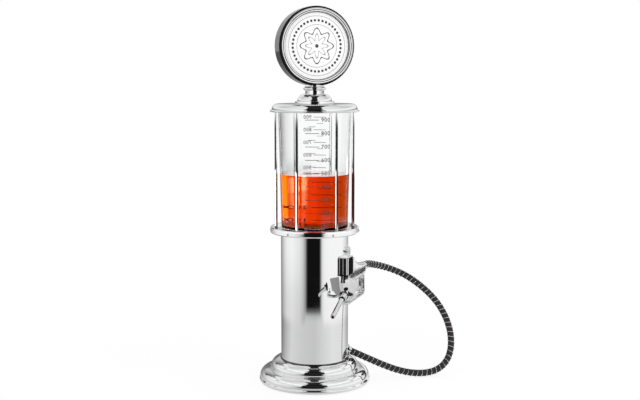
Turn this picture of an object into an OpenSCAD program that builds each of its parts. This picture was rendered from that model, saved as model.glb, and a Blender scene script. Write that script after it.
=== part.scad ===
// Table-top drink dispenser in the shape of a fuel pump, in millimetres.
// Origin at the centre of the underside, +Z up, +X towards the gun bracket, the gun's spout points to -Y.

/* [Base] */
// Radius of the lowest bead
base_radius = 74.6; // [66:0.1:86]
// Height of the seat that the column stands on
seat_height = 30; // [27:0.5:36]
// Rounding of the upper tier
upper_round = 11.5; // [9:0.5:13]
// Rounding of the lower tier
lower_round = 10.5; // [8:0.5:11]
// Thickness of the casting
base_wall = 3; // [2:0.25:4]
// Thickness of the foot pad
pad_thick = 2; // [1:0.25:3]
// Gap between the table and the rim of the base
rim_lift = 0.8; // [0.4:0.1:0.9]
// Thickness of the ballast plate
ballast_thick = 5; // [4.5:0.5:7]
// Height of the trim ring at the column's foot
foot_ring_height = 2; // [1:0.25:4]

/* [Column] */
// Outside radius of the column
column_radius = 45; // [40:0.5:48]
// Wall of the column
column_wall = 1.5; // [1:0.25:2.5]
// Length of the column
column_height = 172; // [150:1:200]
// Radius of the tie rods
tie_radius = 2.5; // [1.5:0.25:3]
// Radius of the circle of tie rods
tie_circle = 34; // [28:0.5:36]

/* [Collar and cage] */
// Outside radius of the collar
collar_radius = 59; // [57:0.5:66]
// Thickness of the collar's flange
collar_flange = 2; // [1.5:0.25:3]
// Height of the collar from its underside
collar_height = 9.2; // [8:0.2:12]
// Thickness of the collar's band
collar_wall = 2.4; // [2:0.1:3]
// Thickness of the tank seat
seat_thick = 4; // [3.5:0.25:6]
// Radius of the circle of cage rods
rod_circle = 51.3; // [51:0.1:52]
// Radius of a cage rod
rod_radius = 2; // [1.5:0.1:2.2]
// Turn of the first cage rod about the axis
rod_angle = 22.5; // [0:0.5:59]
// Thickness of the ring at the top of the cage
ring_thick = 3; // [2.5:0.25:4]

/* [Tank] */
// Outside radius at the bottom
tank_foot_radius = 44.2; // [40:0.1:46]
// Outside radius at the mouth
tank_mouth_radius = 48.4; // [46:0.1:48.6]
// Height of the tank
tank_height = 159.8; // [120:0.2:200]
// Wall of the tank
tank_wall = 3; // [2:0.25:4]
// Thickness of its floor
tank_floor = 4; // [3:0.25:6]
// Thickness of the gasket under it
gasket_thick = 1.2; // [0.8:0.1:2]
// Radius of the threaded shank of the drain
drain_radius = 7; // [6:0.25:8]

/* [Lid] */
// Height of the lid's top above the tank's mouth
lid_rise = 4.8; // [4:0.1:6]
// Thickness of the lid
lid_wall = 2; // [1.5:0.1:2.5]
// Rounding of the lid's shoulder
lid_round = 5; // [4:0.25:6]
// Radius where the shoulder's rounding starts
lid_shoulder = 51.5; // [51:0.1:53]
// Radius of the lip bead's centre
lip_radius = 57.7; // [57:0.1:60]
// Radius of the lip bead itself
lip_bead = 1.3; // [1:0.1:1.6]

/* [Finial and sign] */
// Radius of the finial's flange
finial_flange = 26; // [24:0.5:30]
// Radius of the dome of the finial
finial_round = 9.6; // [8:0.2:11]
// Radius of the neck
finial_neck = 12.4; // [11:0.2:14]
// Height of the neck with its bead
finial_neck_height = 11; // [9.5:0.5:14]
// Radius of the round sign
sign_radius = 51; // [44:0.5:60]
// Depth of the round sign
sign_depth = 25; // [22:0.5:32]
// Wall of the drum
sign_wall = 2; // [1.5:0.25:3]
// Turn of the sign's face from -Y towards +X
sign_turn = 38; // [0:1:359]
// Radius of the stud through the finial
stud_radius = 2.5; // [2:0.1:3]

/* [Gun] */
// Distance of the gun's middle plane from the axis
gun_x = 57; // [56.5:0.5:60]
// Drop of the gun's feed axis below the column's top
gun_drop = 48; // [46:0.5:57]
// Half width of the gun
gun_half = 7; // [6.5:0.25:7.5]
// Rear end of the handle
handle_rear = 24; // [22:0.5:28]
// Joint between handle and head
head_joint = -24; // [-26:0.5:-23]
// Height of the ribbed tower
tower_height = 23; // [18:0.5:25]
// Length of the ribbed tower
tower_length = 22; // [20:0.5:24]
// Slope of the spout below level
spout_drop = 21; // [15:1:25]
// Length of the spout from its root
spout_length = 57; // [40:1:70]
// Outside radius of the spout
spout_radius = 2.8; // [2.4:0.1:3]
// Radius of the spout's bore
spout_bore = 1.8; // [1.2:0.1:1.9]
// Length of the ferrule behind the handle
ferrule_length = 14; // [12:0.5:18]

/* [Trigger and valve] */
// Distance of the trigger's pin in front of the valve stem
lever_arm = 17; // [16:0.5:18]
// Height of the trigger's pin below the feed axis
pin_drop = 24; // [23:0.5:25]
// Thickness of the guard strap
guard_thick = 2.6; // [2:0.1:3]
// Depth of the guard below the head
guard_depth = 7; // [6:0.5:12]
// Radius of the valve stem
stem_radius = 1.5; // [1.2:0.1:1.6]
// Turns of the valve spring
spring_turns = 4; // [3:1:5]

/* [Bracket] */
// Half width of the saddle
bracket_half = 8; // [7.5:0.25:10]
// Thickness of the saddle at its middle
bracket_thick = 1.9; // [1.5:0.1:2]
// Height of the hanging tongue
tongue_height = 10; // [8:0.5:11]

/* [Outlet and hose] */
// Turn of the outlet about the axis
outlet_angle = 20; // [10:1:40]
// Height of the outlet
outlet_z = 42; // [41:0.5:48]
// Slope of the outlet's stub below level
outlet_tilt = 24; // [10:1:30]
// Outside radius of the hose
hose_radius = 4; // [3.4:0.1:4.2]
// Radius of the hose's bore
hose_bore = 2.4; // [1.8:0.1:2.6]
// Radius of the wire round the hose
wire_radius = 0.35; // [0.3:0.05:0.5]
// Turns of the wire
wire_turns = 57; // [40:1:60]

/* [Hidden] */
$fn = 64;
// Sides where a thin piece fits a large round
fine_sides = 256;
// Clearances
slip = 0.1;
run_gap = 0.05;
free_gap = 0.3;
// Overrun of a cut, so that it comes out through the face
cut = 1;
// Base
pad_radius = base_radius - 5.6;
plate_radius = base_radius - 3.4;
upper_center_r = column_radius + 2.5;
upper_center_z = seat_height - upper_round;
rim_bead = 1.6;
rim_bead_z = 3;
lower_center_r = base_radius - rim_bead - lower_round;
lower_center_z = 5.5;
lower_top = lower_center_z + lower_round;
step_bead = 1.1;
plate_top = pad_thick + ballast_thick;
foot_ring_radius = upper_center_r;
// Nuts on the tie rods
tie_nut_radius = tie_radius + 2.1;
tie_nut_height = 3.5;
tie_count = 3;
tie_angle = 70;
// Column
column_top = seat_height + column_height;
gun_z = column_top - gun_drop;
column_bore = column_radius - column_wall;
// Collar and tank seat
flange_top = column_top + collar_flange;
seat_top = flange_top + seat_thick;
hub_drop = 8;
hub_radius = column_bore - slip;
hub_bottom = column_top - hub_drop;
tie_grip = 9;
rim_z = column_top + collar_height - collar_wall / 2;
collar_bore = collar_radius - collar_wall;
cone_rise = 1;
cone_edge = 2.2;
cone_side = 4;
screw_shift = -9.5;
screw_shank = 1;
screw_head = 1.6;
screw_head_height = 0.9;
crown_share = 0.6;
screw_bite = 5;
rod_count = 6;
// Tank
tank_bottom = seat_top + gasket_thick;
tank_top = tank_bottom + tank_height;
floor_top = tank_bottom + tank_floor;
gasket_outer = tank_foot_radius - 6;
drain_flange = drain_radius + 3;
drain_flange_height = 3;
drain_nut_height = 6;
drain_nut_radius = drain_radius + 4.5;
drain_bore = 2.8;
barb_radius = 4.6;
barb_length = 16;
shank_bottom = hub_bottom - drain_nut_height - 2;
tube_bore = barb_radius + run_gap;
tube_outer = barb_radius + 2;
tube_bend = 20;
// Top of the cage
lid_top = tank_top + lid_rise;
lid_inside = lid_top - lid_wall;
lip_z = tank_top - 4.6;
ring_bottom = tank_top - 4.5;
ring_top = ring_bottom + ring_thick;
ring_bore = tank_mouth_radius + 0.5;
ring_outer = lid_shoulder + lid_round - lid_wall - 0.6;
cage_screw = 1.2;
cage_screw_head = 2.3;
cage_screw_depth = 8;
seal_inner = tank_mouth_radius - tank_wall - 1;
seal_outer = tank_mouth_radius + 0.4;
// Finial and sign
flange_height = 3.4;
flange_edge = 0.8;
dome_center_r = finial_neck + 0.8;
dome_center_z = lid_top + flange_height;
neck_bottom = dome_center_z + finial_round;
neck_top = neck_bottom + finial_neck_height;
neck_bead = 2.6;
neck_bead_z = neck_bottom + 6.8;
sign_z = neck_top + sign_radius;
drum_bore = sign_radius - sign_wall;
drum_round = 3;
ledge_width = 2;
ledge_near = 5;
ledge_far = 7;
disc_thick = 2;
disc_radius = drum_bore - slip;
bezel_width = 3.4;
stud_nut_radius = stud_radius + 2.1;
stud_nut_height = 4;
stud_bottom = lid_inside - stud_nut_height - 2;
drum_floor = sign_z - drum_bore;
stud_nut_lift = 0.4;
stud_top = drum_floor + stud_nut_lift + stud_nut_height + 1;
// Gun, with y along the gun and z measured from the feed axis
stem_y = -14;
crest_run = 7;
tower_rear = head_joint - crest_run;
tower_front = tower_rear - tower_length;
tower_rise = 3;
tower_seat = gun_z + tower_rise;
body_rise = 22.5;
body_top = gun_z + body_rise;
tower_proud = 1;
tower_half = gun_half + tower_proud;
rib_width = 1.7;
rib_depth = 1.3;
rib_pitch = 3.6;
rib_foot = 2;
root_back = 20;
root_y = head_joint - root_back;
root_drop = 21;
root_z = gun_z - root_drop;
nose_reach = 7;
nose_half = 6.5;
spout_nut_length = 9;
nose_y = root_y - nose_reach * cos(spout_drop);
nose_z = root_z - nose_reach * sin(spout_drop);
nose_top_y = nose_y - nose_half * sin(spout_drop);
nose_top_z = nose_z + nose_half * cos(spout_drop);
nose_low_y = nose_y + nose_half * sin(spout_drop);
cheek_z = nose_z - nose_half * cos(spout_drop);
brow_reach = 3;
brow_y = tower_front - brow_reach;
brow_drop = 4;
brow_z = gun_z - brow_drop;
taper_drop = 14;
taper_z = gun_z - taper_drop;
taper_in = 1.8;
taper_half = gun_half - taper_in;
ferrule_radius = 7;
ferrule_neck = 5.6;
spigot_radius = 4;
spigot_bore = 1.8;
grip_front_drop = 12;
handle_low_front = gun_z - grip_front_drop;
grip_rear_drop = 7.5;
handle_low_rear = gun_z - grip_rear_drop;
handle_flat = 14;
shoulder_y = 8;
shoulder_rise = 10;
shoulder_z = gun_z + shoulder_rise;
crest_y = -16;
tongue_key = 6;
key_rise = 10.6;
key_low = gun_z + key_rise;
key_height = 2.6;
key_high = key_low + key_height;
key_half = 4;
// Valve
block_rear = -4;
block_half = 5;
block_drop = 6.6;
block_low = gun_z - block_drop;
block_rise = 10;
block_high = gun_z + block_rise;
gland_height = 1.4;
throat_radius = 2.6;
throat_drop = 2.5;
throat_top = gun_z - throat_drop;
chamber_radius = 3.8;
chamber_rise = 7.5;
chamber_top = gun_z + chamber_rise;
plug_radius = 4.5;
outlet_bore = 1.2;
outlet_drop = 3.9;
outlet_level = gun_z - outlet_drop;
seal_thick = 0.9;
seat_gap = 0.05;
poppet_radius = 3.4;
poppet_low = throat_top + seat_gap + seal_thick;
poppet_thick = 1.6;
poppet_top = poppet_low + poppet_thick;
guide_radius = 1.2;
guide_height = 2.4;
spring_wire = 0.3;
spring_mean = 2.5;
spring_steps = 8;
// Trigger
pin_y = stem_y - lever_arm;
pin_z = gun_z - pin_drop;
pin_radius = 1.5;
pin_reach = gun_half - 1.2;
eye_radius = 3.6;
lever_half = 2.6;
lever_slot = lever_half + 0.5;
lever_top = pin_z + 1.5;
lever_thick = 4;
lever_low = lever_top - lever_thick;
lever_end = 12;
scallop = 4.6;
scallop_depth = 0.8;
scallop_pitch = 7;
scallop_y = stem_y + 4;
tail_run = 7;
tail_drop = 4.5;
tip_gap = 0.4;
stem_tip = lever_top + tip_gap + stem_radius;
slot_top = pin_z + eye_radius + 3;
slot_front = pin_y - eye_radius - 1.6;
// Guard
guard_half = 4.5;
guard_front = nose_low_y + 1;
guard_rear = handle_rear + 7;
guard_low = cheek_z - guard_depth;
guard_corner = 7;
flange_run = 10;
guard_screw = 1;
guard_screw_head = 1.9;
guard_screw_crown = 0.9;
guard_screw_lift = 5;
guard_screw_back = 1.8;
guard_screw_y = guard_front + flange_run / 2 + guard_screw_back;
guard_tail_y = handle_rear - 4;
guard_tail_lift = 3;
// Screws through the handle
grip_screw = 1;
grip_head = 1.9;
grip_head_height = 1.2;
grip_joint_gap = 3;
grip_places = [[6, 7.2], [-21, -9.1], [11, -5.9], [head_joint + grip_joint_gap, 11.9]];
grip_spots = [for (s = grip_places) [s.x, gun_z + s.y]];
// Splash wings
wing_back = 4;
wing_y = tower_front + wing_back;
wing_thick = 1.6;
wing_reach = 20;
wing_drop = 25;
wing_low = gun_z - wing_drop;
wing_rise = 1;
wing_high = gun_z + wing_rise;
wing_point_drop = 3;
wing_point = gun_z - wing_point_drop;
wing_waist_drop = 16;
wing_waist = gun_z - wing_waist_drop;
wing_foot = 11;
wing_foot_drop = 13;
wing_foot_low = gun_z - wing_foot_drop;
wing_foot_height = 11;
wing_foot_high = wing_foot_low + wing_foot_height;
rivet_radius = 1;
rivet_head = 1.7;
// Bracket
saddle_face = column_radius + bracket_thick;
saddle_drop = 26;
saddle_low = gun_z - saddle_drop;
saddle_rise = 19;
saddle_high = gun_z + saddle_rise;
scroll_radius = 7;
scroll_rise = 25;
scroll_z = gun_z + scroll_rise;
scroll_rim = 1.4;
tongue_stem_half = 2.2;
tongue_stem = 2;
tongue_head_half = 4.2;
tongue_head = 1.6;
tongue_drop = 8;
tongue_low = gun_z - tongue_drop;
tongue_top = tongue_low + tongue_height;
tongue_neck = saddle_face + tongue_stem;
saddle_wrap = 3;
hanger_half = 8;
hanger_face = saddle_face + 0.5;
hanger_low = tongue_low + 0.6;
hanger_high = tongue_top + 2;
bracket_screw = 1.5;
bracket_screw_head = 3;
bracket_screw_bite = 6;
bracket_low_drop = 21;
bracket_spots = [scroll_z, gun_z - bracket_low_drop];
// Outlet
outlet_stub = 5.4;
outlet_reach = 4.2;
outlet_flange = 7.2;
outlet_flange_thick = 2;
outlet_shank = 5;
outlet_nut_radius = 8;
outlet_nut_face = column_bore - 0.9;
outlet_nut_thick = 4;
outlet_shank_end = outlet_nut_face - outlet_nut_thick - 2;
outlet_barb_end = outlet_shank_end - 14;

// Hose route, from the ferrule round to the outlet
hose_start = [gun_x, handle_rear + ferrule_length, gun_z];
outward = [cos(outlet_tilt) * cos(outlet_angle), cos(outlet_tilt) * sin(outlet_angle), -sin(outlet_tilt)];
outlet_place = [column_radius * cos(outlet_angle), column_radius * sin(outlet_angle), outlet_z];
hose_end = outlet_place + outward * outlet_reach;
lead = 9;
// Places of the free hose for a gun at the drawn height; a lower gun lowers them in step
drawn_gun_z = 154;
free_places = [[61, 76, 150], [74, 97, 143], [97, 107, 133], [121, 110, 117], [144, 109, 97], [161, 103, 72],
    [169, 94, 47], [168, 85, 25], [158, 75, 10], [139, 64, 4], [115, 51, 7], [92, 39, 16]];
hose_route = concat(
    [for (k = [-1:2]) hose_start + [0, k * lead, 0]],
    [for (s = free_places) [s.x, s.y, s.z * gun_z / drawn_gun_z]],
    [for (k = [2:-1:-1]) hose_end + outward * k * lead]);
hose_spans = len(hose_route) - 3;
hose_rings = 64;
hose_sides = 10;
wire_sides = 6;
wire_steps = 8;
wire_clear = 0.2;
// The wire's straight steps still clear the hose at their middles
wire_orbit = (hose_radius + wire_radius + wire_clear) / cos(180 / wire_steps);
side_way = [-0.5, 0.87, 0];

// Cubic blend of four route points, with weights that sum to one
function blend(i, f) = (
    hose_route[i] * pow(1 - f, 3)
    + hose_route[i + 1] * (3 * pow(f, 3) - 6 * f * f + 4)
    + hose_route[i + 2] * (-3 * pow(f, 3) + 3 * f * f + 3 * f + 1)
    + hose_route[i + 3] * pow(f, 3)) / 6;
function raw_at(t) = let (s = min(max(t, 0), 1) * hose_spans, i = min(floor(s), hose_spans - 1))
    blend(i, s - i);
// Length along the route against the blend's own count, so that places are set by length
length_steps = 240;
length_table = [for (i = 0, s = 0; i <= length_steps;
    s = s + norm(raw_at((i + 1) / length_steps) - raw_at(i / length_steps)), i = i + 1)
    [s, i / length_steps]];
hose_length = length_table[length_steps][0];
echo(hose_length = hose_length);
function hose_at(t) = raw_at(lookup(t * hose_length, length_table));
function unit(v) = v / norm(v);
function hose_way(t) = unit(hose_at(t + 0.002) - hose_at(t - 0.002));
function hose_side(t) = unit(cross(hose_way(t), side_way));
function hose_up(t) = cross(hose_way(t), hose_side(t));
function around(t, r, a) = hose_at(t) + (hose_side(t) * cos(a) + hose_up(t) * sin(a)) * r;
// Ring of points square to the hose
function hose_ring(t, r, n) = [for (k = [0:n - 1]) around(t, r, 360 * k / n)];
// Ring of points round a place, in the plane of two directions
function round_points(place, s, u, r) = [for (j = [0:wire_sides - 1])
    place + (s * cos(360 * j / wire_sides) + u * sin(360 * j / wire_sides)) * r];
// Centre line of the wire: straight ends one wire thick, curls between them
wire_count = wire_turns * wire_steps;
wire_from = 0.012;
wire_lead = 0.004;
function wire_t(k) = k < 0 ? wire_from + k * wire_lead
    : k > wire_count ? 1 - wire_from + (k - wire_count) * wire_lead
    : wire_from + (1 - 2 * wire_from) * k / wire_count;
function wire_at(k) = around(wire_t(k), wire_orbit, 360 * min(max(k, 0), wire_count) / wire_steps);
function wire_way(k) = unit(wire_at(min(k + 0.5, wire_count + 1)) - wire_at(max(k - 0.5, -1)));
function wire_ring(k) = let (w = wire_way(k), s = unit(cross(w, hose_way(wire_t(k)) + side_way * 0.01)))
    round_points(wire_at(k), s, cross(w, s), wire_radius);
// Least gap of the wire to its next turn, on its own points
wire_gap = min([for (k = [0:4:wire_count - wire_steps - 1])
    min([for (j = [6:10]) norm(wire_at(k + j) - wire_at(k))])]) - 2 * wire_radius;
echo(wire_gap = wire_gap);
// Centre line of the valve spring and its gap
spring_low = poppet_top + spring_wire + 0.02;
spring_high = chamber_top - spring_wire - 0.02;
spring_count = spring_turns * spring_steps;
function spring_at(k) = [gun_x + spring_mean * cos(360 * k / spring_steps),
    stem_y + spring_mean * sin(360 * k / spring_steps),
    spring_low + (spring_high - spring_low) * k / spring_count];
function spring_ring(k) = let (w = unit(spring_at(k + 0.5) - spring_at(k - 0.5)), s = unit(cross(w, [0, 0, 1])))
    round_points(spring_at(k), s, cross(w, s), spring_wire);
spring_gap = (spring_high - spring_low) / spring_turns - 2 * spring_wire;
echo(spring_gap = spring_gap);
// Points of an arc in a half section, from one angle to another
bow_steps = 10;
function bow(r, z, size, from, to) = [for (k = [0:bow_steps]) let (a = from + (to - from) * k / bow_steps)
    [r + size * cos(a), z + size * sin(a)]];
// Triangles of a tube made of rings, with flat ends
function tube_faces(rings, n) = concat(
    [for (i = [0:rings - 2], j = [0:n - 1]) [i * n + j, (i + 1) * n + j, i * n + (j + 1) % n]],
    [for (i = [0:rings - 2], j = [0:n - 1]) [i * n + (j + 1) % n, (i + 1) * n + j, (i + 1) * n + (j + 1) % n]],
    [for (j = [1:n - 2]) [0, j, j + 1]],
    [for (j = [1:n - 2]) let (b = (rings - 1) * n) [b, b + j + 1, b + j]]);
// Triangles of a hollow tube: outer rings first, then inner rings
function pipe_faces(rings, n) = let (m = rings * n, e = (rings - 1) * n) concat(
    [for (i = [0:rings - 2], j = [0:n - 1]) [i * n + j, (i + 1) * n + j, i * n + (j + 1) % n]],
    [for (i = [0:rings - 2], j = [0:n - 1]) [i * n + (j + 1) % n, (i + 1) * n + j, (i + 1) * n + (j + 1) % n]],
    [for (i = [0:rings - 2], j = [0:n - 1]) [m + i * n + j, m + i * n + (j + 1) % n, m + (i + 1) * n + j]],
    [for (i = [0:rings - 2], j = [0:n - 1])
        [m + i * n + (j + 1) % n, m + (i + 1) * n + (j + 1) % n, m + (i + 1) * n + j]],
    [for (j = [0:n - 1]) [j, (j + 1) % n, m + j]],
    [for (j = [0:n - 1]) [(j + 1) % n, m + (j + 1) % n, m + j]],
    [for (j = [0:n - 1]) [e + j, m + e + j, e + (j + 1) % n]],
    [for (j = [0:n - 1]) [e + (j + 1) % n, m + e + j, m + e + (j + 1) % n]]);

// Helpers
// Cylinder between two heights
module post(r, low, high) {
    translate([0, 0, low]) cylinder(r = r, h = high - low);
}
// Ring between two radii and two heights
module hoop(inner, outer, low, high) {
    difference() {
        post(outer, low, high);
        post(inner, low - 1, high + 1);
    }
}
// Outline in y and z, from one x to another
module side(low, high) {
    translate([low, 0, 0]) rotate([90, 0, 90]) linear_extrude(height = high - low) children();
}
// Outline in x and z, from one y to another
module front(low, high) {
    translate([0, high, 0]) rotate([90, 0, 0]) linear_extrude(height = high - low) children();
}
// Rod along x through a point in y and z
module cross_rod(r, low, high, y, z) {
    translate([low, y, z]) rotate([0, 90, 0]) cylinder(r = r, h = high - low);
}
// Rod along y at the gun's middle plane
module long_rod(r, low, high, z) {
    translate([gun_x, low, z]) rotate([-90, 0, 0]) cylinder(r = r, h = high - low);
}
// Rod along z at the gun's middle plane
module stand_rod(r, y, low, high) {
    translate([gun_x, y, low]) cylinder(r = r, h = high - low);
}
// Frame along the spout, z outwards
module on_spout() {
    translate([gun_x, root_y, root_z]) rotate([90 + spout_drop, 0, 0]) children();
}
// Places round the axis
module round_axis(count, first, radius) {
    for (k = [0:count - 1]) rotate([0, 0, first + 360 * k / count]) translate([radius, 0, 0]) children();
}
// Screw along x with a low cone for a head, seated at zero
module cone_screw(shank, bite, head, height) {
    rotate([0, 90, 0]) {
        post(shank, -bite, height / 2);
        cylinder(r1 = head, r2 = head * crown_share, h = height);
    }
}
// Flat block between two corners
module block(low, high) {
    translate(low) cube(high - low);
}

// Stand
module foot_pad() {
    color("#202020") post(pad_radius, 0, pad_thick);
}
module base_plate() {
    color("#777777") difference() {
        post(plate_radius, pad_thick, plate_top);
        round_axis(tie_count, tie_angle, tie_circle) {
            post(tie_radius + slip, pad_thick - 1, plate_top + 1);
            post(tie_nut_radius + free_gap, pad_thick - 1, pad_thick + tie_nut_height);
        }
    }
}
// Half section of the base, pulled in by an inset
module base_section(inset) {
    translate([upper_center_r, upper_center_z]) circle(r = upper_round - inset);
    square([upper_center_r, seat_height - inset]);
    square([upper_center_r + upper_round - inset, upper_center_z]);
    translate([lower_center_r, lower_center_z]) circle(r = lower_round - inset);
    square([lower_center_r, lower_top - inset]);
    square([lower_center_r + lower_round - inset, lower_center_z]);
}
module base() {
    color("#d8d8dc") difference() {
        rotate_extrude() intersection() {
            union() {
                base_section(0);
                translate([base_radius - rim_bead, rim_bead_z]) circle(r = rim_bead);
                translate([upper_center_r + upper_round, lower_top + step_bead / 2]) circle(r = step_bead);
            }
            translate([0, rim_lift]) square([base_radius + 1, seat_height]);
        }
        rotate_extrude() intersection() {
            base_section(base_wall);
            square([base_radius, seat_height]);
        }
        post(plate_radius + slip, -1, plate_top);
        round_axis(tie_count, tie_angle, tie_circle) post(tie_radius + slip, 0, seat_height + 1);
    }
}
module foot_ring() {
    color("#e0e0e4")
        hoop(column_radius + run_gap, foot_ring_radius, seat_height, seat_height + foot_ring_height);
}
module column() {
    color("#d8d8dc") difference() {
        hoop(column_bore, column_radius, seat_height, column_top);
        rotate([0, 0, outlet_angle])
            cross_rod(outlet_shank + slip, column_bore - 5, column_radius + 5, 0, outlet_z);
        for (z = bracket_spots) cross_rod(bracket_screw + slip, column_bore - 5, column_radius + 5, 0, z);
    }
}
module tie_rods() {
    color("#999999") round_axis(tie_count, tie_angle, tie_circle)
        post(tie_radius, pad_thick + run_gap, hub_bottom + tie_grip);
}
module tie_nuts() {
    color("#888888") round_axis(tie_count, tie_angle, tie_circle) difference() {
        translate([0, 0, pad_thick + run_gap])
            cylinder(r = tie_nut_radius, h = tie_nut_height - run_gap, $fn = 6);
        post(tie_radius + run_gap, pad_thick - 1, pad_thick + tie_nut_height + 1);
    }
}
// Holes for the small screws in the collar's band
module collar_holes() {
    round_axis(rod_count, rod_angle + screw_shift, 0)
        cross_rod(screw_shank + run_gap, collar_bore - screw_bite - slip, collar_radius + cut,
            0, column_top + cone_side);
}
module collar() {
    color("#d8d8dc") difference() {
        rotate_extrude() union() {
            polygon([[column_bore + slip, column_top], [column_radius + 1, column_top],
                [collar_bore, column_top + cone_rise], [collar_radius - 0.8, column_top + cone_edge],
                [collar_radius, column_top + cone_side], [collar_radius, rim_z], [collar_bore, rim_z],
                [collar_bore, flange_top], [column_bore + slip, flange_top]]);
            translate([collar_radius - collar_wall / 2, rim_z]) circle(r = collar_wall / 2);
        }
        collar_holes();
    }
}
module collar_screws() {
    color("#c0c0c4") round_axis(rod_count, rod_angle + screw_shift, 0) {
        translate([collar_radius + run_gap, 0, column_top + cone_side])
            cone_screw(screw_shank, screw_bite + collar_wall, screw_head, screw_head_height);
    }
}
module tank_seat() {
    color("#505256") difference() {
        union() {
            post(collar_bore - slip, flange_top, seat_top);
            post(hub_radius, hub_bottom, flange_top + 1);
        }
        post(drain_radius + slip, hub_bottom - 1, seat_top + 1);
        round_axis(rod_count, rod_angle, rod_circle) post(rod_radius + run_gap, flange_top - 1, seat_top + 1);
        round_axis(tie_count, tie_angle, tie_circle)
            post(tie_radius + run_gap, hub_bottom - cut, hub_bottom + tie_grip + slip);
        collar_holes();
    }
}
module cage_rods() {
    color("#d0d0d4") round_axis(rod_count, rod_angle, rod_circle) difference() {
        post(rod_radius, flange_top, ring_bottom);
        post(cage_screw + run_gap, ring_top - cage_screw_depth - slip, ring_bottom + 1);
    }
}
// Countersunk screw, or the hole for it with a gap
module sunk_screw(gap) {
    post(cage_screw + gap, ring_top - cage_screw_depth, ring_top);
    translate([0, 0, ring_top - cage_screw_head + cage_screw])
        cylinder(r1 = cage_screw + gap, r2 = cage_screw_head + gap, h = cage_screw_head - cage_screw);
}
module cage_ring() {
    color("#b8b8bc") difference() {
        hoop(ring_bore, ring_outer, ring_bottom, ring_top);
        round_axis(rod_count, rod_angle, rod_circle) {
            sunk_screw(run_gap);
            post(cage_screw_head + run_gap, ring_top, ring_top + 1);
        }
    }
}
module rod_screws() {
    color("#909094") round_axis(rod_count, rod_angle, rod_circle) sunk_screw(0);
}
module tank() {
    color("#cfe6ee", 0.4) difference() {
        translate([0, 0, tank_bottom]) cylinder(r1 = tank_foot_radius, r2 = tank_mouth_radius, h = tank_height);
        translate([0, 0, floor_top])
            cylinder(r1 = tank_foot_radius - tank_wall, r2 = tank_mouth_radius - tank_wall,
                h = tank_height - tank_floor);
        post(tank_mouth_radius - tank_wall, tank_top - 0.01, tank_top + 1);
        post(drain_radius + slip, tank_bottom - 1, floor_top + 1);
    }
}
module tank_gasket() {
    color("#e8e8e8") hoop(drain_radius + 3, gasket_outer, seat_top, tank_bottom);
}
module drain_union() {
    color("#c8b070") difference() {
        union() {
            post(drain_flange, floor_top, floor_top + drain_flange_height);
            post(drain_radius, shank_bottom, floor_top + 1);
            post(barb_radius, shank_bottom - barb_length, shank_bottom + 1);
        }
        post(drain_bore, shank_bottom - barb_length - 1, floor_top + drain_flange_height + 1);
    }
}
module drain_nut() {
    color("#b09a60") difference() {
        translate([0, 0, hub_bottom - drain_nut_height])
            cylinder(r = drain_nut_radius, h = drain_nut_height, $fn = 6);
        post(drain_radius + run_gap, hub_bottom - drain_nut_height - 1, hub_bottom + 1);
    }
}
// Tube from the drain down to the outlet: an upright length, a bend and a level length
module drain_tube() {
    color("#e8e8e0") rotate([0, 0, outlet_angle]) {
        rotate([0, 0, 180]) hoop(tube_bore, tube_outer, outlet_z + tube_bend, shank_bottom - slip);
        translate([tube_bend, 0, outlet_z + tube_bend]) rotate([90, 180, 0])
            rotate_extrude(angle = 90) translate([tube_bend, 0]) difference() {
                circle(r = tube_outer);
                circle(r = tube_bore);
            }
        difference() {
            cross_rod(tube_outer, tube_bend, outlet_shank_end - slip, 0, outlet_z);
            cross_rod(tube_bore, tube_bend - cut, outlet_shank_end, 0, outlet_z);
        }
    }
}
// Frame of the outlet's stub, x outwards and down from the column's face
module on_outlet() {
    translate([column_radius, 0, outlet_z]) rotate([0, outlet_tilt, 0]) children();
}
module outlet_fitting() {
    color("#d8d8dc") rotate([0, 0, outlet_angle]) difference() {
        union() {
            difference() {
                union() {
                    cross_rod(outlet_flange, column_bore, column_radius + outlet_flange_thick, 0, outlet_z);
                    on_outlet() cross_rod(outlet_stub, 0, outlet_reach, 0, 0);
                }
                post(column_radius, outlet_z - 2 * outlet_flange, outlet_z + 2 * outlet_flange);
            }
            cross_rod(outlet_shank, outlet_shank_end, column_radius + outlet_flange_thick / 2, 0, outlet_z);
            cross_rod(barb_radius, outlet_barb_end, outlet_shank_end + cut, 0, outlet_z);
        }
        cross_rod(drain_bore, outlet_barb_end - cut, column_radius + cut, 0, outlet_z);
        on_outlet() cross_rod(hose_bore, 0, outlet_reach + cut, 0, 0);
    }
}
module outlet_nut() {
    color("#b09a60") rotate([0, 0, outlet_angle]) difference() {
        translate([outlet_nut_face - outlet_nut_thick, 0, outlet_z]) rotate([0, 90, 0])
            cylinder(r = outlet_nut_radius, h = outlet_nut_thick, $fn = 6);
        cross_rod(outlet_shank + run_gap, outlet_shank_end - 1, column_bore, 0, outlet_z);
    }
}
module gun_bracket() {
    color("#d0d0d4") difference() {
        union() {
            block([column_radius - saddle_wrap, -bracket_half, saddle_low],
                [saddle_face, bracket_half, saddle_high]);
            cross_rod(scroll_radius, column_radius - saddle_wrap, saddle_face + scroll_rim, 0, scroll_z);
            block([saddle_face - cut, -tongue_stem_half, tongue_low],
                [tongue_neck + tongue_head / 2, tongue_stem_half, tongue_top]);
            block([tongue_neck, -tongue_head_half, tongue_low],
                [tongue_neck + tongue_head, tongue_head_half, tongue_top]);
        }
        cross_rod(scroll_radius - scroll_rim, saddle_face, saddle_face + scroll_rim + cut, 0, scroll_z);
        post(column_radius, saddle_low - cut, scroll_z + scroll_radius + cut, $fn = fine_sides);
        for (z = bracket_spots) cross_rod(bracket_screw + slip, column_radius - 5, saddle_face + 5, 0, z);
    }
}
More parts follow.
